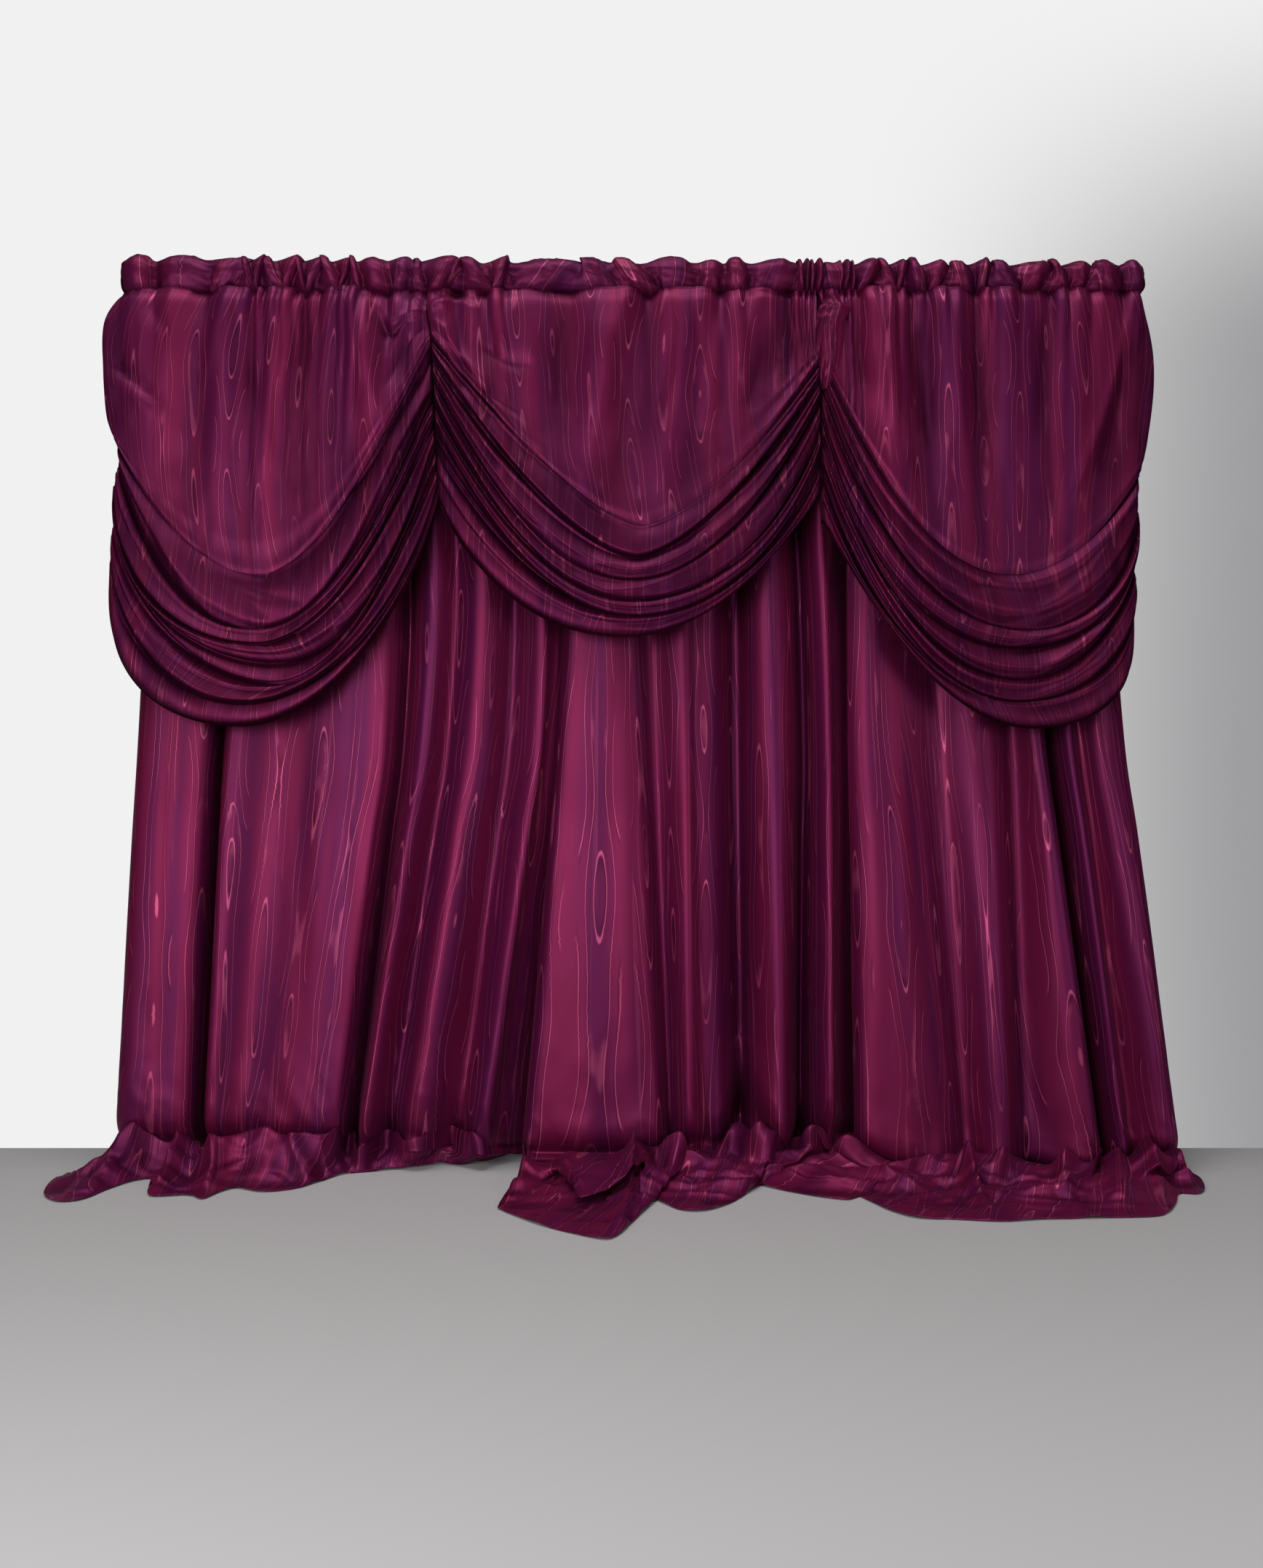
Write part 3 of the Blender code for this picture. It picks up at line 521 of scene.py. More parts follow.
swagMiddle = {
    "lines": [
        ((-583, 2504), (-15, 2504), (526, 2504), soft, soft, 8, 8, 0),
        ((-579, 2450), (-15, 2355), (526, 2440), soft, soft, 38, 30, 0),
        ((-576, 2420), (-15, 2170), (529, 2385), soft, soft, 55, 34, 0),
        ((-571, 2395), (-5, 1985), (531, 2345), steep, steep, 72, 38, 0),
        ((-567, 2365), (25, 1805), (533, 2300), (1.4, 1.0), steep, 95, 45, 12),
        ((-564, 2315), (15, 1720), (534, 2250), steep, steep, 114, 52, 28),
        ((-561, 2250), (0, 1660), (534, 2190), soft, soft, 126, 55, 32),
        ((-557, 2185), (0, 1605), (534, 2120), soft, full, 130, 57, 34),
        ((-553, 2105), (5, 1560), (534, 2045), soft, full, 126, 57, 34),
        ((-546, 1905), (-10, 1505), (532, 1910), full, soft, 104, 50, 45),
        ((-547, 1920), (-10, 1545), (532, 1925), soft, soft, 50, 38, 0),
    ],
    "bellies": [
        (-330, -260, 10, 70), (-46, -160, 18, 60), (175, 60, 18, 60), (356, 310, 14, 50),
    ],
    "gathers": [(-0.58, -0.3, 16.0, 0.005), (0.0, 0.36, 14.0, 0.004), (0.38, 0.53, 34.0, 0.005)],
    "seams": (1.0, 1.0), "under": (0.0, 0.0),
    "creases": [
        (10, 14, -547, 2344, -439, 2205, -255, 1995, -110, 1848, 37, 1791),
        (-10, 12, -400, 2190, -269, 2010, -80, 1860, 37, 1812),
        (10, 12, -371, 1983, -184, 1830, -82, 1756, 20, 1705),
        (10, 12, 357, 1983, 255, 1858, 153, 1750, 37, 1709),
        (8, 11, -306, 1838, -110, 1703, -8, 1701),
        (10, 12, -184, 1677, -73, 1622, 20, 1634, 108, 1662, 218, 1736, 327, 1838, 437, 1983),
        (9, 12, -139, 1626, -51, 1597, 57, 1593, 145, 1620, 255, 1677, 363, 1787, 502, 1960),
        (7, 11, -139, 1564, -37, 1550, 71, 1556, 139, 1575),
        (8, 12, -37, 1524, 71, 1518, 218, 1569, 400, 1728, 524, 1918),
        (-10, 16, -430, 2330, -350, 2280, -270, 2270),
        (-8, 14, -500, 2300, -400, 2180, -300, 2120),
        (7, 7, -581, 2439, -548, 2452, -519, 2439),
        (-12, 9, -575, 2452, -548, 2476, -492, 2486, -454, 2456, -425, 2490),
        (10, 10, -580, 2440, -535, 2462, -480, 2462, -440, 2436),
        (10, 9, -573, 2415, -527, 2376, -492, 2314, -412, 2216),
        (-10, 8, -569, 2385, -520, 2335, -460, 2250, -390, 2170),
        (-16, 30, 450, 2480, 470, 2350, 430, 2180),
        (-20, 34, 372, 2480, 365, 2300, 325, 2130),
        (14, 30, 270, 2495, 240, 2300, 190, 2080),
        (-14, 28, 125, 2480, 105, 2300, 60, 2060),
        (14, 38, -20, 2490, -55, 2300, -95, 2060),
        (-12, 30, -185, 2460, -205, 2300, -200, 2130),
    ],
    "flat": (1.2, 1.75), "cut": 1.55, "seed": 3.0,
}
swagRight = {
    "lines": [
        ((536, 2504), (1045, 2504), (1445, 2504), soft, soft, 8, 8, 0),
        ((552, 2430), (1045, 2335), (1475, 2370), soft, soft, 40, 30, 0),
        ((551, 2370), (1050, 2125), (1485, 2235), soft, soft, 58, 34, 0),
        ((549, 2325), (1060, 1895), (1465, 2070), soft, soft, 75, 38, 0),
        ((547, 2290), (1060, 1670), (1445, 1990), soft, soft, 95, 45, 8),
        ((546, 2230), (1110, 1520), (1428, 1910), full, round_, 118, 52, 28),
        ((546, 2160), (1080, 1470), (1436, 1835), (2.0, 1.6), round_, 128, 55, 32),
        ((546, 2085), (1085, 1385), (1420, 1735), full, (2.0, 1.4), 132, 57, 36),
        ((546, 2000), (1077, 1320), (1425, 1650), (2.0, 1.3), round_, 124, 56, 36),
        ((544, 1835), (1125, 1250), (1418, 1550), soft, boxy, 100, 50, 45),
        ((545, 1850), (1125, 1295), (1410, 1575), soft, boxy, 50, 38, 0),
    ],
    "bellies": [
        (715, 740, 20, 55), (900, 915, 18, 50), (1065, 1090, 14, 65), (1260, 1230, 10, 70),
    ],
    "gathers": [(0.62, 0.95, 22.0, 0.005), (0.95, 1.4, 14.0, 0.004)],
    "seams": (1.0, 0.0), "under": (1.0, 0.0),
    "creases": [
        (-6, 12, 922, 1640, 1008, 1646, 1096, 1632),
        (-5, 10, 847, 1632, 959, 1618),
        (8, 12, 1014, 1530, 1106, 1552, 1190, 1601, 1282, 1679, 1394, 1854),
        (10, 13, 649, 1860, 718, 1769, 790, 1685, 867, 1616, 951, 1552, 1035, 1520, 1106, 1509, 1176, 1530,
            1282, 1593, 1388, 1705),
        (9, 12, 776, 1579, 867, 1516, 965, 1475, 1057, 1467, 1176, 1509, 1288, 1579, 1365, 1650),
        (10, 13, 600, 1860, 678, 1705, 755, 1587, 839, 1495, 922, 1432, 1008, 1389, 1063, 1377, 1141, 1397,
            1247, 1481, 1380, 1628),
        (10, 13, 543, 1860, 606, 1720, 706, 1558, 810, 1452, 910, 1375, 1014, 1320, 1106, 1324, 1212, 1369,
            1316, 1438, 1380, 1544),
        (-18, 20, 640, 2480, 640, 2350, 665, 2200),
        (14, 26, 720, 2490, 715, 2320, 745, 2080),
        (-16, 22, 825, 2480, 820, 2300, 845, 2060),
        (12, 26, 920, 2490, 915, 2300, 930, 2060),
        (-14, 24, 1015, 2480, 1005, 2300, 1010, 2040),
        (-10, 24, 1175, 2470, 1165, 2300, 1150, 2060),
        (12, 16, 1425, 2470, 1380, 2300, 1327, 2116, 1253, 1940, 1180, 1780),
        (-16, 34, 1455, 2440, 1420, 2280, 1375, 2100, 1310, 1950),
    ],
    "flat": (1.15, 2.0), "cut": 1.6, "seed": 5.0,
}


def withTucks(lines):
    made = []
    for line, after in zip(lines, lines[1:] + lines[-1:]):
        made.append(line)
        left, low, right, fullLeft, fullRight, out, edge, tuck = line
        if tuck and after is not line:
            share = swagShape["tuckShare"]
            newLeft = tuple(mix(a, b, share) for a, b in zip(left, after[0]))
            newRight = tuple(mix(a, b, share) for a, b in zip(right, after[2]))
            newLow = (low[0], low[1] + swagShape["tuckRise"])
            newEdge = edge - swagShape["edgeTuck"]
            made.append((newLeft, newLow, newRight, fullLeft, fullRight, out - tuck, newEdge, 0.0))
    return made


def linePoints(line, u, seams):
    fullLeft, fullRight = line[3:5]
    left, low, right = milli * np.array(line[:3], float)
    out, edge = milli * line[5], milli * line[6]
    away = np.abs(np.cos(np.pi * u))
    onLeft = u < 0.5
    endX = np.where(onLeft, left[0], right[0])
    endZ = np.where(onLeft, left[1], right[1])
    flatness = np.where(onLeft, fullLeft[0], fullRight[0])
    steepness = np.where(onLeft, fullLeft[1], fullRight[1])
    fall = np.maximum(0.0, 1.0 - away ** flatness) ** (1.0 / steepness)
    x = mix(low[0], endX, away)
    # Rounded at a free side, and a gentle slope down to a seam
    sewn = np.where(onLeft, seams[0], seams[1])
    stands = mix(np.sin(np.pi * u) ** 0.8, 1.0 - np.exp(-np.abs(x - endX) / 0.085), sewn)
    return np.stack([x, -mix(edge, out, stands), mix(endZ, low[1], fall)], 1)


def addSwag(name, node, swag):
    shape = swagShape
    level = withTucks(swag["lines"])
    crease = next(index for index, line in enumerate(level) if line[-1])
    steps = [shape["bellyRows"]] * crease
    steps += [shape["tuckRows"] if line[-1] else shape["rollRows"] for line in level[crease:-1]]
    down = sum(steps)
    seed = swag["seed"]

    def place(u, v):
        even = np.arccos(np.clip(1.0 - 2.0 * u, -1.0, 1.0)) / np.pi
        at = np.interp(np.arange(down + 1), np.cumsum([0] + steps), np.arange(len(level)))
        share = np.clip(mix(u, even, shape["evenShare"]), 0.0, 1.0)
        points = throughRows(np.stack([linePoints(line, share, swag["seams"]) for line in level]), at)
        fallen = lengths(points)[1]
        x, z = points[:, :, 0], points[:, :, 2]
        rise = np.minimum(1.0, at / crease)[:, None]
        out = np.zeros(x.shape)
        for top, low, depth, width in milli * np.array(swag["bellies"], float):
            away = (x - mix(top, low, rise)) / width
            hump = np.exp(-away ** 2) - shape["bellyTrough"] * np.exp(-((away - 1.5) / 0.6) ** 2)
            out += shape["belly"] * depth * (1.0 - rise ** 2) * hump
        # Each fold is a roll from the tuck over it down to its lip
        tucked = np.array([0.0 if line[-1] else 1.0 for line in level])
        rolled = tucked[np.minimum(at.astype(int), len(level) - 1)] * (at > crease)
        rolled = (rolled * np.sin(np.pi * (at - np.floor(at)) ** 0.85) ** 0.8)[:, None]
        out += shape["roll"] * rolled * np.sin(np.pi * share)[None, :] ** 0.5

        # Pleats that run down from the puffs and the gathers of the pocket
        def under(lift):
            return np.clip(seamHeight + lift - z, 0.0, None)

        below = under(0.008)
        slide = x + 0.10 * (x - x.mean()) * below + 0.010 * softNoise(z * 9.0, 0.0 * x, seed)
        puffs = np.interp(slide, pocketPuffs[:, 0], pocketPuffs[:, 1])
        out += sum(part * puffs * np.exp(-below / reach) for part, reach in shape["puffReach"])
        for first, last, perMetre, depth in swag["gathers"]:
            inside = np.clip((x - first) / 0.04, 0.0, 1.0) * np.clip((last - x) / 0.04, 0.0, 1.0)
            phase = x * perMetre + 0.5 * softNoise(x * 9.0, z * 3.0, seed)
            gather = inside * (np.abs(np.sin(np.pi * phase)) - 0.5)
            out += depth * gather * np.exp(-below / shape["gatherReach"])

        # Fans of fine pleats that run into the gathered seams and die away towards the middle
        at = at[:, None]
        fold = np.clip((at - crease + 0.8) / 0.8, 0.0, 1.0) * np.clip((len(level) - 1.2 - at) / 0.5, 0.0, 1.0)
        drift = 0.35 * softNoise(share[None, :] * 5.0 + 0.0 * x, at * 0.7, seed + 1.0)
        phase = at * shape["pleatsPerLine"] + 0.5 * np.sin(1.3 * at + seed) + drift
        tooth = phase - np.floor(phase)
        top = shape["pleatCrest"]
        pleat = np.where(tooth < top, (tooth / top) ** 1.4, (1.0 - tooth) / (1.0 - top)) - 0.5
        gaps = [np.abs(x - x[:, [end]]) for end in (0, -1)]
        reach, groove, nearest = np.zeros(x.shape), np.zeros(x.shape), np.ones(x.shape)
        for gap, sewn in zip(gaps, swag["seams"]):
            reach = np.maximum(reach, mix(shape["fanFree"], 1.0, sewn) * np.exp(-gap / shape["fanReach"]))
            groove += sewn * shape["seamGroove"] * np.exp(-gap / shape["grooveWidth"])
            nearest = np.minimum(nearest, gap) if sewn else nearest
        free = 1.0 - np.exp(-nearest / shape["plainAtSeam"])
        out += fold * pleat * (shape["pleatDepth"] + shape["fanDepth"] * reach) * free
        out += creaseDepth(x, z, swag["creases"]) + wrinkles(shape["wrinkles"], x, z, seed)
        blouse = np.exp(-under(0.0) / shape["blouseReach"])
        out += shape["blouse"] * blouse * (1.0 - np.exp(-under(0.004) / shape["blouseEdge"]))
        points[:, :, 1] -= out - groove
        # One edge of a seam lies a little behind the other, so nothing shows between them
        for gap, behind, side in zip(gaps, swag["under"], (-1.0, 1.0)):
            lap = behind * np.exp(-gap / shape["lapWidth"])
            points[:, :, 1] += shape["lap"] * lap
            points[:, :, 0] += side * shape["lapWidth"] * lap
        # Painted shade: the fold zone darkened, with painted light on the rolls and pleat crests, and the
        # belly darkened in its valleys
        inFolds = np.clip((at - crease + 0.2) / 0.9, 0.0, 1.0)
        light = shape["rollLight"] * rolled + shape["pleatLight"] * (pleat + 0.5)
        valley = np.clip(-(out - np.median(out)) / 0.014, 0.0, 1.0)
        paintedLight = 1.0 - inFolds * (shape["foldShade"] - light)
        paintedLight = paintedLight - shape["valleyShade"] * (1.0 - inFolds) * valley
        across = np.broadcast_to((x[:1] - x[0, 0]) / (x[0, -1] - x[0, 0]), x.shape)
        return points, across, 1.0 - fallen / fallen.max(), np.clip(paintedLight, shape["darkest"], 1.0)

    piece = clothGrid(name, shape["columns"], down, place)
    finishSheet(piece, node, swag["flat"], seed, swag["cut"])


addSwag("left_swag_cloth", "swag_left", swagLeft)
addSwag("middle_swag_cloth", "swag_middle", swagMiddle)
addSwag("right_swag_cloth", "swag_right", swagRight)


# Twisted strap. Twist: height, middle, half width, how far out, and where its crest runs
strap = {
    "twists": [
        (2.497, 0.569, 0.019, 0.040, 0.00),
        (2.462, 0.571, 0.026, 0.052, 0.20),
        (2.440, 0.575, 0.044, 0.062, 0.35),
        (2.400, 0.564, 0.041, 0.067, 0.30),
        (2.350, 0.561, 0.039, 0.071, 0.05),
        (2.300, 0.560, 0.033, 0.073, -0.15),
        (2.250, 0.556, 0.024, 0.072, 0.00),
        (2.205, 0.548, 0.010, 0.064, 0.00),
    ],
    "crown": 0.020, "wrinkle": 0.004, "uneven": 0.003, "shade": 0.55,
    "across": 40, "down": 120, "flat": (0.10, 0.31), "seed": 7.0,
}


def addStrap():
    def place(u, v):
        at = v * (len(strap["twists"]) - 1)
        height, x, half, out, edge = throughRows(strap["twists"], at).T[:, :, None]
        at = at[:, None]
        side = 2.0 * u[None, :] - 1.0
        away = np.where(side < edge, (edge - side) / (1.0 + edge), (side - edge) / (1.0 - edge))
        depth = -out + strap["crown"] * away ** 1.2
        ribs = np.abs(np.sin(np.pi * (side * 1.9 + at * 0.55))) * np.clip(at - 1.0, 0.0, 1.0)
        depth = depth - strap["wrinkle"] * ribs * np.clip(edge - side, 0.0, 1.0)
        depth = depth - strap["uneven"] * softNoise(side * 2.0 + 0.0 * at, at * 2.5, 3.0)
        points = np.stack([x + half * side, depth, height + 0.0 * side], 2)
        fallen = lengths(points)[1]
        # Painted shade on the side of the strap left of its crest
        paintedLight = 1.0 - strap["shade"] * np.clip((edge - side) / 0.8, 0.0, 1.0)
        across = np.broadcast_to(u[None, :], points.shape[:2])
        return points, across, 1.0 - fallen / fallen.max(), paintedLight

    piece = clothGrid("strap_cloth", strap["across"], strap["down"], place)
    finishSheet(piece, "gather_strap", strap["flat"], strap["seed"])


addStrap()


# Panels. Fold: place across at waist and at knee height, how far it stands out of the valleys as a
# share, and the height at which it meets its puddle. Hem: share of the width, X and Y. Floor pleats:
# start, end, count, reach and height. Flap: start, end, reach and height.
panelShape = {
    "waist": 1.25, "knee": 0.43, "fullHang": 0.14, "floorLift": 0.0025,
    "sections": [   # height, ridge, valley
        (2.500, -0.012, -0.026), (2.25, -0.006, -0.052), (1.70, -0.002, -0.068), (1.22, 0.012, -0.066),
        (0.95, 0.048, -0.060), (0.65, 0.076, -0.054), (0.40, 0.094, -0.048),
    ],
    "turns": [      # share of the hang, lift, swell
        (1.0, 0.095, 0.016), (1.0, 0.025, 0.020), (0.86, 0.0, 0.006), (0.52, 0.004, -0.030),
        (0.30, 0.004, -0.004),
    ],
    "columnsPerFold": 11, "topRows": 50, "turnRows": 38, "floorRows": 92,
    "flatEnds": 0.44, "broad": 1.4,        # broad ridges and narrow valleys, except at the two ends
    "pinch": 0.028, "pinchWidth": 0.25, "hemCurl": 0.007, "heap": 0.046, "heapAt": 0.13, "heapWidth": 0.11,
    "ridgePull": 0.55,
    "streaks": [(0.0045, 17.0, 1.1, 0.0), (0.0005, 55.0, 2.0, 1.0)],
    "crumple": 0.007, "crease": 0.006, "crumpleReach": 0.22,
    "ripple": 0.006, "floorCrease": 0.009, "fineRipple": 0.002, "longCrease": 0.020,
    # Painted shade in the valleys, a painted shadow under the swags, and painted shade near the floor, at the
    # puddle's foot and in its hollows
    "valleyShade": 0.50, "valleyWidth": 0.35, "swagShade": 0.45, "swagReach": 0.10,
    "groundShade": 0.5, "groundReach": 0.03, "footShade": 0.25, "footReach": 0.15, "hollowShade": 0.40,
}
panelLeft = {
    "folds": [
        (-1.41, -1.44, 0.0, 0.13), (-1.418, -1.447, 0.45, 0.13), (-1.38, -1.41, 0.88, 0.14),
        (-1.3, -1.325, 1.0, 0.14), (-1.215, -1.24, 0.8, 0.14), (-1.18, -1.21, 0.05, 0.14),
        (-1.145, -1.175, 0.92, 0.14), (-1.015, -1.08, 0.58, 0.13), (-0.85, -0.925, 0.86, 0.13),
        (-0.722, -0.812, 1.0, 0.14), (-0.688, -0.78, 0.7, 0.14), (-0.655, -0.75, 0.14, 0.14),
        (-0.59, -0.708, 0.85, 0.13), (-0.527, -0.64, 0.28, 0.15), (-0.444, -0.558, 0.95, 0.17),
        (-0.35, -0.454, 0.26, 0.16), (-0.262, -0.372, 0.9, 0.13), (-0.225, -0.325, 0.35, 0.08),
        (-0.085, -0.165, -0.25, 0.05),
    ],
    "hem": [
        (0.0, -1.565, -0.15), (0.012, -1.583, -0.185), (0.03, -1.56, -0.32), (0.05, -1.5, -0.395),
        (0.08, -1.44, -0.378), (0.12, -1.404, -0.275), (0.16, -1.368, -0.2), (0.2, -1.325, -0.17),
        (0.235, -1.3, -0.26), (0.26, -1.267, -0.345), (0.31, -1.175, -0.335), (0.345, -1.125, -0.372),
        (0.375, -1.095, -0.3), (0.4, -1.06, -0.265), (0.46, -0.986, -0.3), (0.54, -0.905, -0.268),
        (0.6, -0.85, -0.19), (0.64, -0.8, -0.112), (0.72, -0.715, -0.08), (0.8, -0.61, -0.04),
        (0.88, -0.52, 0.005), (0.94, -0.455, 0.03), (0.97, -0.432, 0.03), (1.0, -0.385, 0.075),
    ],
    "floorPleats": [
        (0.28, 0.46, 1, 0.16, 0.02), (0.42, 0.66, 1, 0.14, 0.022), (0.66, 0.98, 2, 0.075, 0.022),
    ],
    "flaps": [], "top": (-1.435, -0.19), "flat": (1.75, 3.05), "seed": 11.0,
}
panelMiddle = {
    "folds": [
        (-0.208, -0.278, 0.45, 0.09), (-0.18, -0.24, 0.85, 0.09), (-0.09, -0.096, 1.0, 0.09),
        (0.006, 0.046, 0.85, 0.1), (0.067, 0.098, 0.35, 0.12), (0.146, 0.154, 0.88, 0.14),
        (0.185, 0.196, 0.62, 0.13), (0.225, 0.244, 0.5, 0.12), (0.312, 0.32, 0.1, 0.26),
        (0.412, 0.416, 0.88, 0.11), (0.5, 0.49, 0.05, 0.14), (0.56, 0.556, 0.85, 0.18),
        (0.602, 0.602, 0.25, 0.12), (0.735, 0.735, -0.15, 0.1),
    ],
    "hem": [
        (0.0, -0.3, -0.13), (0.03, -0.322, -0.23), (0.06, -0.343, -0.44), (0.075, -0.335, -0.47),
        (0.13, -0.279, -0.545), (0.18, -0.22, -0.612), (0.24, -0.137, -0.68), (0.3, -0.071, -0.724),
        (0.33, -0.04, -0.708), (0.37, -0.008, -0.615), (0.41, 0.025, -0.492), (0.44, 0.038, -0.37),
        (0.46, 0.048, -0.345), (0.5, 0.079, -0.404), (0.55, 0.124, -0.472), (0.6, 0.17, -0.486),
        (0.65, 0.218, -0.458), (0.71, 0.269, -0.39), (0.79, 0.326, -0.275), (0.86, 0.372, -0.205),
        (0.93, 0.48, -0.15), (1.0, 0.68, -0.05),
    ],
    "floorPleats": [(0.52, 1.1, 2, 0.085, 0.024)], "flaps": [(0.1, 0.3, 0.72, 0.036)],
    "top": (-0.216, 0.645), "flat": (1.25, 3.15), "seed": 13.0,
}
panelRight = {
    "folds": [
        (0.622, 0.628, 0.45, 0.1), (0.65, 0.66, 0.82, 0.08), (0.692, 0.744, 1.0, 0.03),
        (0.796, 0.87, 0.6, 0.012), (0.89, 0.938, 0.35, 0.012), (0.998, 1.03, 0.88, 0.012),
        (1.094, 1.119, 0.3, 0.012), (1.15, 1.233, 0.97, 0.015), (1.175, 1.27, 0.75, 0.02),
        (1.204, 1.296, 0.05, 0.03), (1.25, 1.34, 0.8, 0.035), (1.29, 1.383, 0.35, 0.05),
        (1.34, 1.456, 0.95, 0.07), (1.41, 1.5, 0.6, 0.08), (1.402, 1.488, 0.0, 0.08),
    ],
    "hem": [
        (0.0, 0.325, -0.2), (0.025, 0.345, -0.228), (0.07, 0.395, -0.275), (0.12, 0.484, -0.342),
        (0.165, 0.566, -0.378), (0.19, 0.597, -0.345), (0.215, 0.622, -0.392), (0.25, 0.66, -0.48),
        (0.29, 0.717, -0.545), (0.36, 0.803, -0.556), (0.45, 0.926, -0.575), (0.54, 1.04, -0.556),
        (0.64, 1.18, -0.545), (0.74, 1.315, -0.532), (0.79, 1.368, -0.49), (0.83, 1.416, -0.405),
        (0.865, 1.455, -0.32), (0.9, 1.505, -0.322), (0.93, 1.54, -0.27), (0.97, 1.565, -0.17),
        (1.0, 1.56, -0.09),
    ],
    "floorPleats": [
        (-0.1, 0.26, 2, 0.085, 0.022), (0.24, 0.5, 1, 0.1, 0.012), (0.7, 0.96, 1, 0.24, 0.034),
    ],
    "flaps": [], "top": (0.618, 1.44), "flat": (1.35, 3.05), "seed": 17.0,
}
# Ridges of cloth that stand on the floor: two ends, height, half width, and how far the crest leans
floorRidges = [
    (-1420, -100, -1540, -240, 60, 50, 15), (-1330, -80, -1470, -320, 34, 30, -12),
    (-1380, -100, -1520, -330, 22, 16, 6), (-1240, -60, -1262, -300, 85, 32, -30),
    (-1190, -140, -1130, -340, 34, 26, 12), (-1020, -80, -1100, -240, 50, 65, 20),
    (-900, -100, -1030, -200, 36, 40, 16), (-930, -160, -860, -220, 30, 24, -12),
    (-860, -40, -800, -140, 42, 28, 14), (-820, -20, -600, 0, 36, 30, 12),
    (-700, -50, -520, -10, 20, 18, 8), (-550, -20, -530, 60, 28, 14, 6),
    (-300, -160, -300, -420, 22, 40, 0), (-190, -160, -130, -380, 20, 16, -10),
    (-10, -160, -30, -660, 52, 22, 22), (30, -140, 30, -340, 44, 30, -14),
    (100, -140, 300, -200, 40, 28, 20), (140, -260, 300, -300, 20, 26, 12),
    (360, -120, 660, -100, 44, 30, 20), (380, -200, 700, -200, 34, 26, 18),
    (460, -280, 760, -280, 26, 22, 14), (700, -220, 840, -400, 26, 30, -10),
    (920, -140, 900, -540, 48, 22, 12), (1020, -140, 1100, -340, 26, 50, 0),
    (1220, -120, 1160, -340, 56, 34, -20), (1330, -120, 1270, -400, 58, 36, 24),
    (1420, -100, 1400, -340, 60, 34, 20), (1500, -80, 1530, -240, 38, 30, -10),
]


def swagHem(x):
    # Height of the swags' lower edge over the floor
    u = np.linspace(0.0, 1.0, 60)
    swags = (swagLeft, swagMiddle, swagRight)
    line = np.concatenate([linePoints(swag["lines"][-2], u, swag["seams"]) for swag in swags])
    line = line[np.argsort(line[:, 0])]
    return np.interp(x, line[:, 0], line[:, 2])


def raiseFloorRidges(points, weight):
    # Pulls the cloth together into the ridges, lifts them, and leans their crests over
    for x0, y0, x1, y1, height, width, lean in milli * np.array(floorRidges, float):
        x, y = points[:, :, 0], points[:, :, 1]
        away, share = nearLine(x, y, [(x0, y0), (x1, y1)])
        length = math.hypot(x1 - x0, y1 - y0)
        sideX, sideY = (y0 - y1) / length, (x1 - x0) / length
        signed = (x - x0) * sideX + (y - y0) * sideY
        near = weight * np.exp(-(away / width) ** 2) * (1.0 - 0.5 * share)
        shift = (lean - panelShape["ridgePull"] * signed) * near
        points[:, :, 0] += sideX * shift
        points[:, :, 1] += sideY * shift
        points[:, :, 2] += height * near


def floorRun(panel, u, run):
    # How far out each row of the puddle lies, its height in folds, and where no flap lies on it
    way, stack = run + 0.0 * u, 0.0 * run * u
    for first, end, count, reach, height in panel["floorPleats"]:
        share = np.clip(np.sin(np.pi * np.clip((u - first) / (end - first), 0.0, 1.0)), 0.0, 1.0)
        way = way + reach * share * np.sin(2.0 * np.pi * count * run)
        stack = stack + height * share * (1.0 - run) * np.clip(run / 0.08, 0.0, 1.0)
    free = np.ones(u.shape)
    for first, end, reach, height in panel["flaps"]:
        tip = 1.0 - np.abs(2.0 * np.clip((u - first) / (end - first), 0.0, 1.0) - 1.0)
        laid = np.clip(4.0 * tip, 0.0, 1.0)
        front = mix(mix(0.30, 0.14, laid), reach, tip)
        back = mix(0.55, 0.04, laid)
        home = mix(front, back, (run - 0.30) / 0.25)
        onward = mix(back, 1.0, (run - 0.55) / 0.45)
        flap = np.where(run < 0.30, front * run / 0.30, np.where(run < 0.55, home, onward))
        way = np.where(laid > 0.0, flap, way)
        stack = stack + height * laid * np.interp(
            run, (0.0, 0.06, 0.27, 0.33, 0.55, 0.64, 1.0), (0.0, 1.0, 0.5, 0.28, 0.35, 0.05, 0.0))
        free = free * (1.0 - laid)
    return way, stack, free


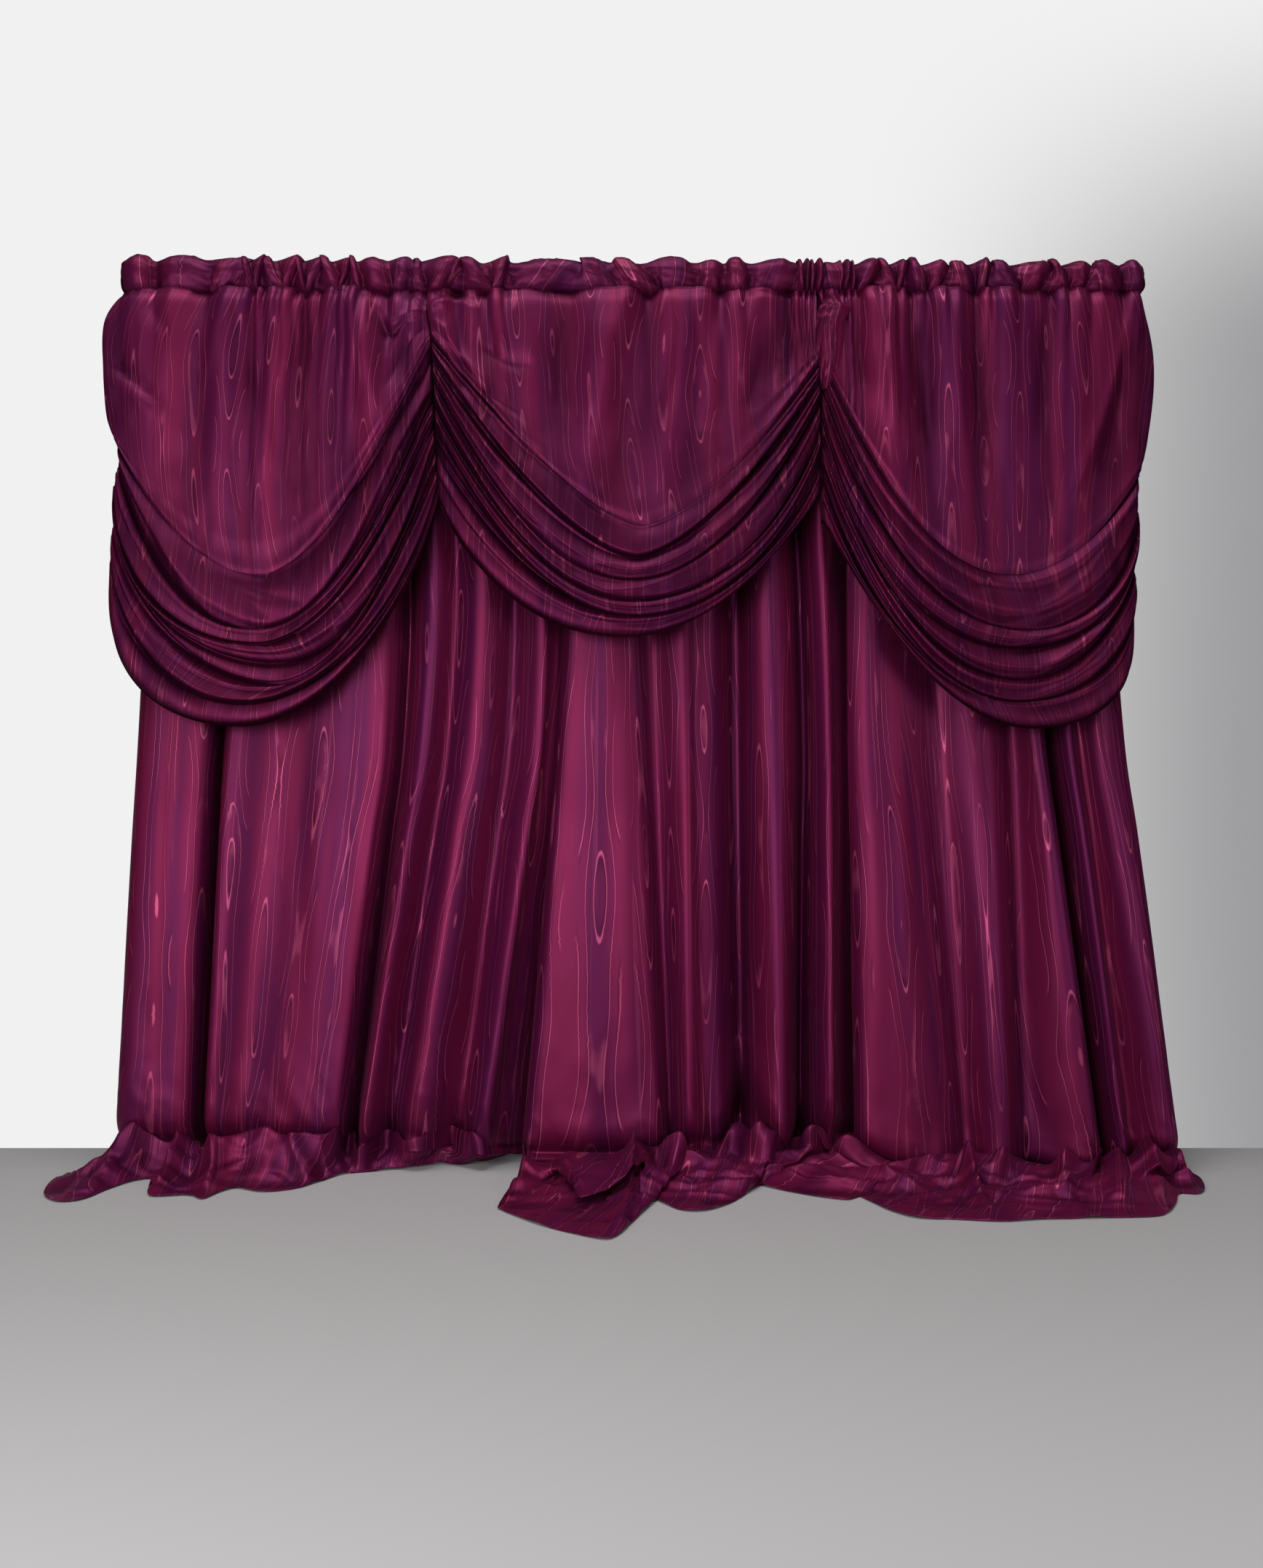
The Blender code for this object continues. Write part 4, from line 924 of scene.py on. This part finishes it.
def addPanel(name, node, panel):
    folds = np.array(panel["folds"])
    shape = panelShape
    last = len(folds) - 1
    sections, turns = shape["sections"], shape["turns"]
    seed = panel["seed"]
    hem = np.array(panel["hem"])

    def spread(waist, knee, u, z):
        lean = (waist - knee) * (z - shape["waist"]) / (shape["waist"] - shape["knee"])
        rise = np.clip((z - shape["waist"]) / (seamHeight - shape["waist"]), 0.0, 1.0)
        even = mix(panel["top"][0], panel["top"][1], u)
        return waist + lean * (1.0 - rise) ** 2 + (even - waist) * rise ** 2 * (3.0 - 2.0 * rise)

    def hang(u):
        waist, knee, stands, sag = throughRows(folds, u * last).T
        stands = np.where(np.abs(u - 0.5) < shape["flatEnds"], np.maximum(stands, 0.0), stands)
        stands = np.where(stands > 0.0, 1.0 - (1.0 - np.clip(stands, 0.0, 1.0)) ** shape["broad"], stands)
        pinch = shape["pinch"] * np.exp(-(stands / shape["pinchWidth"]) ** 2)
        pinch = pinch * np.clip(1.0 + 4.0 * stands, 0.0, 1.0)
        rows = []
        for height, ridge, valley in sections:
            z = np.full(u.shape, height)
            low = min(1.0, max(0.0, seamHeight - height) / 0.6)
            rows.append(np.stack([spread(waist, knee, u, z), pinch * low - mix(valley, ridge, stands), z], 1))
        _, ridge, valley = sections[-1]
        for share, lift, swell in turns:
            tuck = np.minimum(1.0, sag / shape["fullHang"]) if swell < 0 else 1.0
            z = sag * share + lift + shape["floorLift"]
            y = pinch - mix(valley, ridge, stands) - swell * tuck
            rows.append(np.stack([spread(waist, knee, u, np.maximum(z, 0.05)), y, z], 1))
        top, foot = len(sections) - 1, len(rows) - 1
        at = np.concatenate([
            np.linspace(0.0, top, shape["topRows"], endpoint=False),
            np.linspace(top, foot, shape["turnRows"]),
        ])
        return throughRows(np.stack(rows), at), rows[-1], stands

    def lay(u, run, start):
        # On the floor each column runs out to the hem, in places folded over on its way
        goal = throughRows(hem[:, 1:], np.interp(u, hem[:, 0], np.arange(len(hem))))
        way, stack, free = floorRun(panel, u, run)
        # A loose pile in front of the foot
        loose = 0.55 + 0.75 * softNoise(u * 13.0 + 1.5 * run, 3.0 * run + 0.0 * u, seed + 9.0)
        heap = np.exp(-((run - shape["heapAt"]) / shape["heapWidth"]) ** 2) * np.clip(run / 0.05, 0.0, 1.0)
        stack = stack + free * shape["heap"] * np.clip(loose, 0.0, 1.0) * heap
        rest = 0.6 * shape["floorLift"]
        floor = np.stack([
            mix(start[:, 0], goal[:, 0], way), mix(start[:, 1], goal[:, 1], way),
            rest + (start[:, 2] - rest) * (1.0 - run) ** 1.6 + stack,
        ], 2)
        raiseFloorRidges(floor, np.clip(run / 0.08, 0.0, 1.0) * (1.0 - 0.8 * run ** 3))
        x, y = floor[:, :, 0], floor[:, :, 1]
        ripple = shape["ripple"] * softNoise(x * 15.0 + 6.0 * y, y * 24.0, seed + 3.0)
        creased = np.abs(softNoise(x * 20.0 - 7.0 * y, y * 26.0, seed + 4.0))
        ripple += shape["floorCrease"] * (0.4 - creased)
        ripple += shape["fineRipple"] * softNoise(x * 60.0 + 20.0 * y, y * 60.0, seed + 5.0)
        creased = np.abs(softNoise(x * 4.0 - 4.0 * y, y * 14.0 + 3.0 * x, seed + 8.0))
        ripple += shape["longCrease"] * (1.0 - creased) ** 4 - 0.2 * shape["longCrease"]
        curl = shape["hemCurl"] * (0.6 + 0.4 * softNoise(u * 24.0, 0.0 * u, seed + 6.0))
        floor[:, :, 2] += np.sin(np.pi * run) ** 0.7 * ripple
        floor[:, :, 2] += curl * np.clip((run - 0.95) / 0.05, 0.0, 1.0) ** 1.5
        floor[:, :, 2] = np.maximum(floor[:, :, 2], rest)
        return floor, ripple

    def place(u, v):
        hanging, start, stands = hang(u)
        run = np.linspace(0.0, 1.0, shape["floorRows"] + 2)[1:, None]
        floor, ripple = lay(u, run, start)

        # Long uneven streaks down the hanging cloth, and crumples near the floor
        x, z = hanging[:, :, 0], hanging[:, :, 2]
        near = np.exp(-np.clip(z - 0.1, 0.0, None) / shape["crumpleReach"])
        out = wrinkles(shape["streaks"], x, z, seed)
        out += near * shape["crumple"] * softNoise(x * 16.0, z * 9.0, seed + 2.0)
        creased = np.abs(softNoise(x * 22.0 + 9.0 * z, z * 16.0, seed + 7.0))
        out += near * shape["crease"] * (0.4 - creased)
        hanging[:, :, 1] -= out * np.clip((seamHeight - z) / 0.1, 0.0, 1.0)
        points = np.concatenate([hanging, floor])
        over, fallen = lengths(points)
        middle = over[shape["topRows"] // 2]
        # Painted shade: darker in the valleys, a painted shadow close under the swags, and darker near the
        # floor, at the puddle's foot and in its hollows
        valley = np.exp(-(np.clip(stands, 0.0, None) / shape["valleyWidth"]) ** 2)
        under = np.abs(swagHem(points[:, :, 0]) - points[:, :, 2])
        paintedLight = 1.0 - shape["valleyShade"] * valley + 0.0 * over
        paintedLight *= 1.0 - shape["swagShade"] * np.exp(-(under / shape["swagReach"]) ** 1.2)
        paintedLight *= 1.0 - shape["groundShade"] * np.exp(-np.abs(points[:, :, 2]) / shape["groundReach"])
        foot = np.clip(1.0 - run / shape["footReach"], 0.0, 1.0)
        hollow = np.clip(0.35 - ripple / 0.012, 0.0, 1.0)
        paintedLight[len(hanging):] = 1.0 - shape["footShade"] * foot - shape["hollowShade"] * hollow
        across = np.broadcast_to(middle / middle[-1], over.shape)
        return points, across, 1.0 - fallen / fallen.max(), paintedLight

    down = shape["topRows"] + shape["turnRows"] + shape["floorRows"]
    piece = clothGrid(name, last * shape["columnsPerFold"], down, place)
    finishSheet(piece, node, panel["flat"], seed)


addPanel("left_panel_cloth", "panel_left", panelLeft)
addPanel("middle_panel_cloth", "panel_middle", panelMiddle)
addPanel("right_panel_cloth", "panel_right", panelRight)


# Stage: a plain pale floor that ends a little behind the drape, and soft light
stage = {
    "floorBack": 0.20, "floorFront": -9.0, "floorSide": 7.0,
    "floorColour": (0.45, 0.44, 0.44, 1.0), "floorRoughness": 0.9, "floorShine": 0.1,
    "wallLight": (0.88, 0.88, 0.88, 1.0), "wallShade": (0.33, 0.325, 0.335, 1.0),
    "fill": 0.045, "wallGlow": 0.22,
    "lamps": [   # place, what it faces, size, watts
        ((-1.4, -4.1, -0.9), (-0.1, 0.0, -1.5), (3.0, 1.8), 110.0),
        ((2.8, -3.4, -1.1), (0.8, 0.0, -1.6), (1.2, 1.4), 26.0),
        ((-0.6, -2.2, 5.5), (-0.6, -2.2, -2.6), (6.0, 4.0), 330.0),
    ],
}


def addStage():
    bm = bmesh.new()
    bmesh.ops.create_grid(bm, x_segments=1, y_segments=1, size=0.5)
    mesh = bpy.data.meshes.new("floor")
    bm.to_mesh(mesh)
    bm.free()
    deep = stage["floorBack"] - stage["floorFront"]
    for vertex in mesh.vertices:
        vertex.co = Vector((
            vertex.co.x * 2.0 * stage["floorSide"], stage["floorBack"] + (vertex.co.y - 0.5) * deep, -drop,
        ))
    floor = bpy.data.objects.new("floor", mesh)
    bpy.context.scene.collection.objects.link(floor)
    material = bpy.data.materials.new("floor")
    material.use_nodes = True
    shader = material.node_tree.nodes["Principled BSDF"]
    shader.inputs["Base Color"].default_value = stage["floorColour"]
    shader.inputs["Roughness"].default_value = stage["floorRoughness"]
    shader.inputs["Specular IOR Level"].default_value = stage["floorShine"]
    mesh.materials.append(material)


def addLight():
    world = bpy.data.worlds.new("studio")
    world.use_nodes = True
    tree = world.node_tree
    tree.nodes.clear()
    w = Wire(tree)
    # The wall is a pale background that darkens softly to the lower right
    direction = w.node("ShaderNodeTexCoord", None, None, "Generated")
    away = w.node("ShaderNodeSeparateXYZ", None, {0: direction}, "X")
    shaded = away.smooth(0.12, 0.40) * away.pick("Z").smooth(0.25, 0.46, 1.0, 0.0)
    seen = w.node("ShaderNodeLightPath", None, None, "Is Camera Ray")
    unseen = away.pick("Y").smooth(0.2, 0.8, stage["fill"], stage["wallGlow"])
    strength = seen + (1.0 - seen) * unseen
    wall = w.blend(shaded, stage["wallLight"], stage["wallShade"])
    light = w.node("ShaderNodeBackground", None, {"Color": wall, "Strength": strength})
    w.node("ShaderNodeOutputWorld", None, {"Surface": light})
    bpy.context.scene.world = world
    for index, (place, aim, size, watts) in enumerate(stage["lamps"]):
        data = bpy.data.lights.new("softbox_%d" % index, "AREA")
        data.shape = "RECTANGLE"
        data.size, data.size_y = size
        data.energy = watts
        lamp = bpy.data.objects.new("softbox_%d" % index, data)
        lamp.location = place
        lamp.rotation_euler = (Vector(aim) - Vector(place)).to_track_quat("-Z", "Y").to_euler()
        bpy.context.scene.collection.objects.link(lamp)


addStage()
addLight()
bpy.context.scene.view_settings.view_transform = "Standard"
print("stage lit")
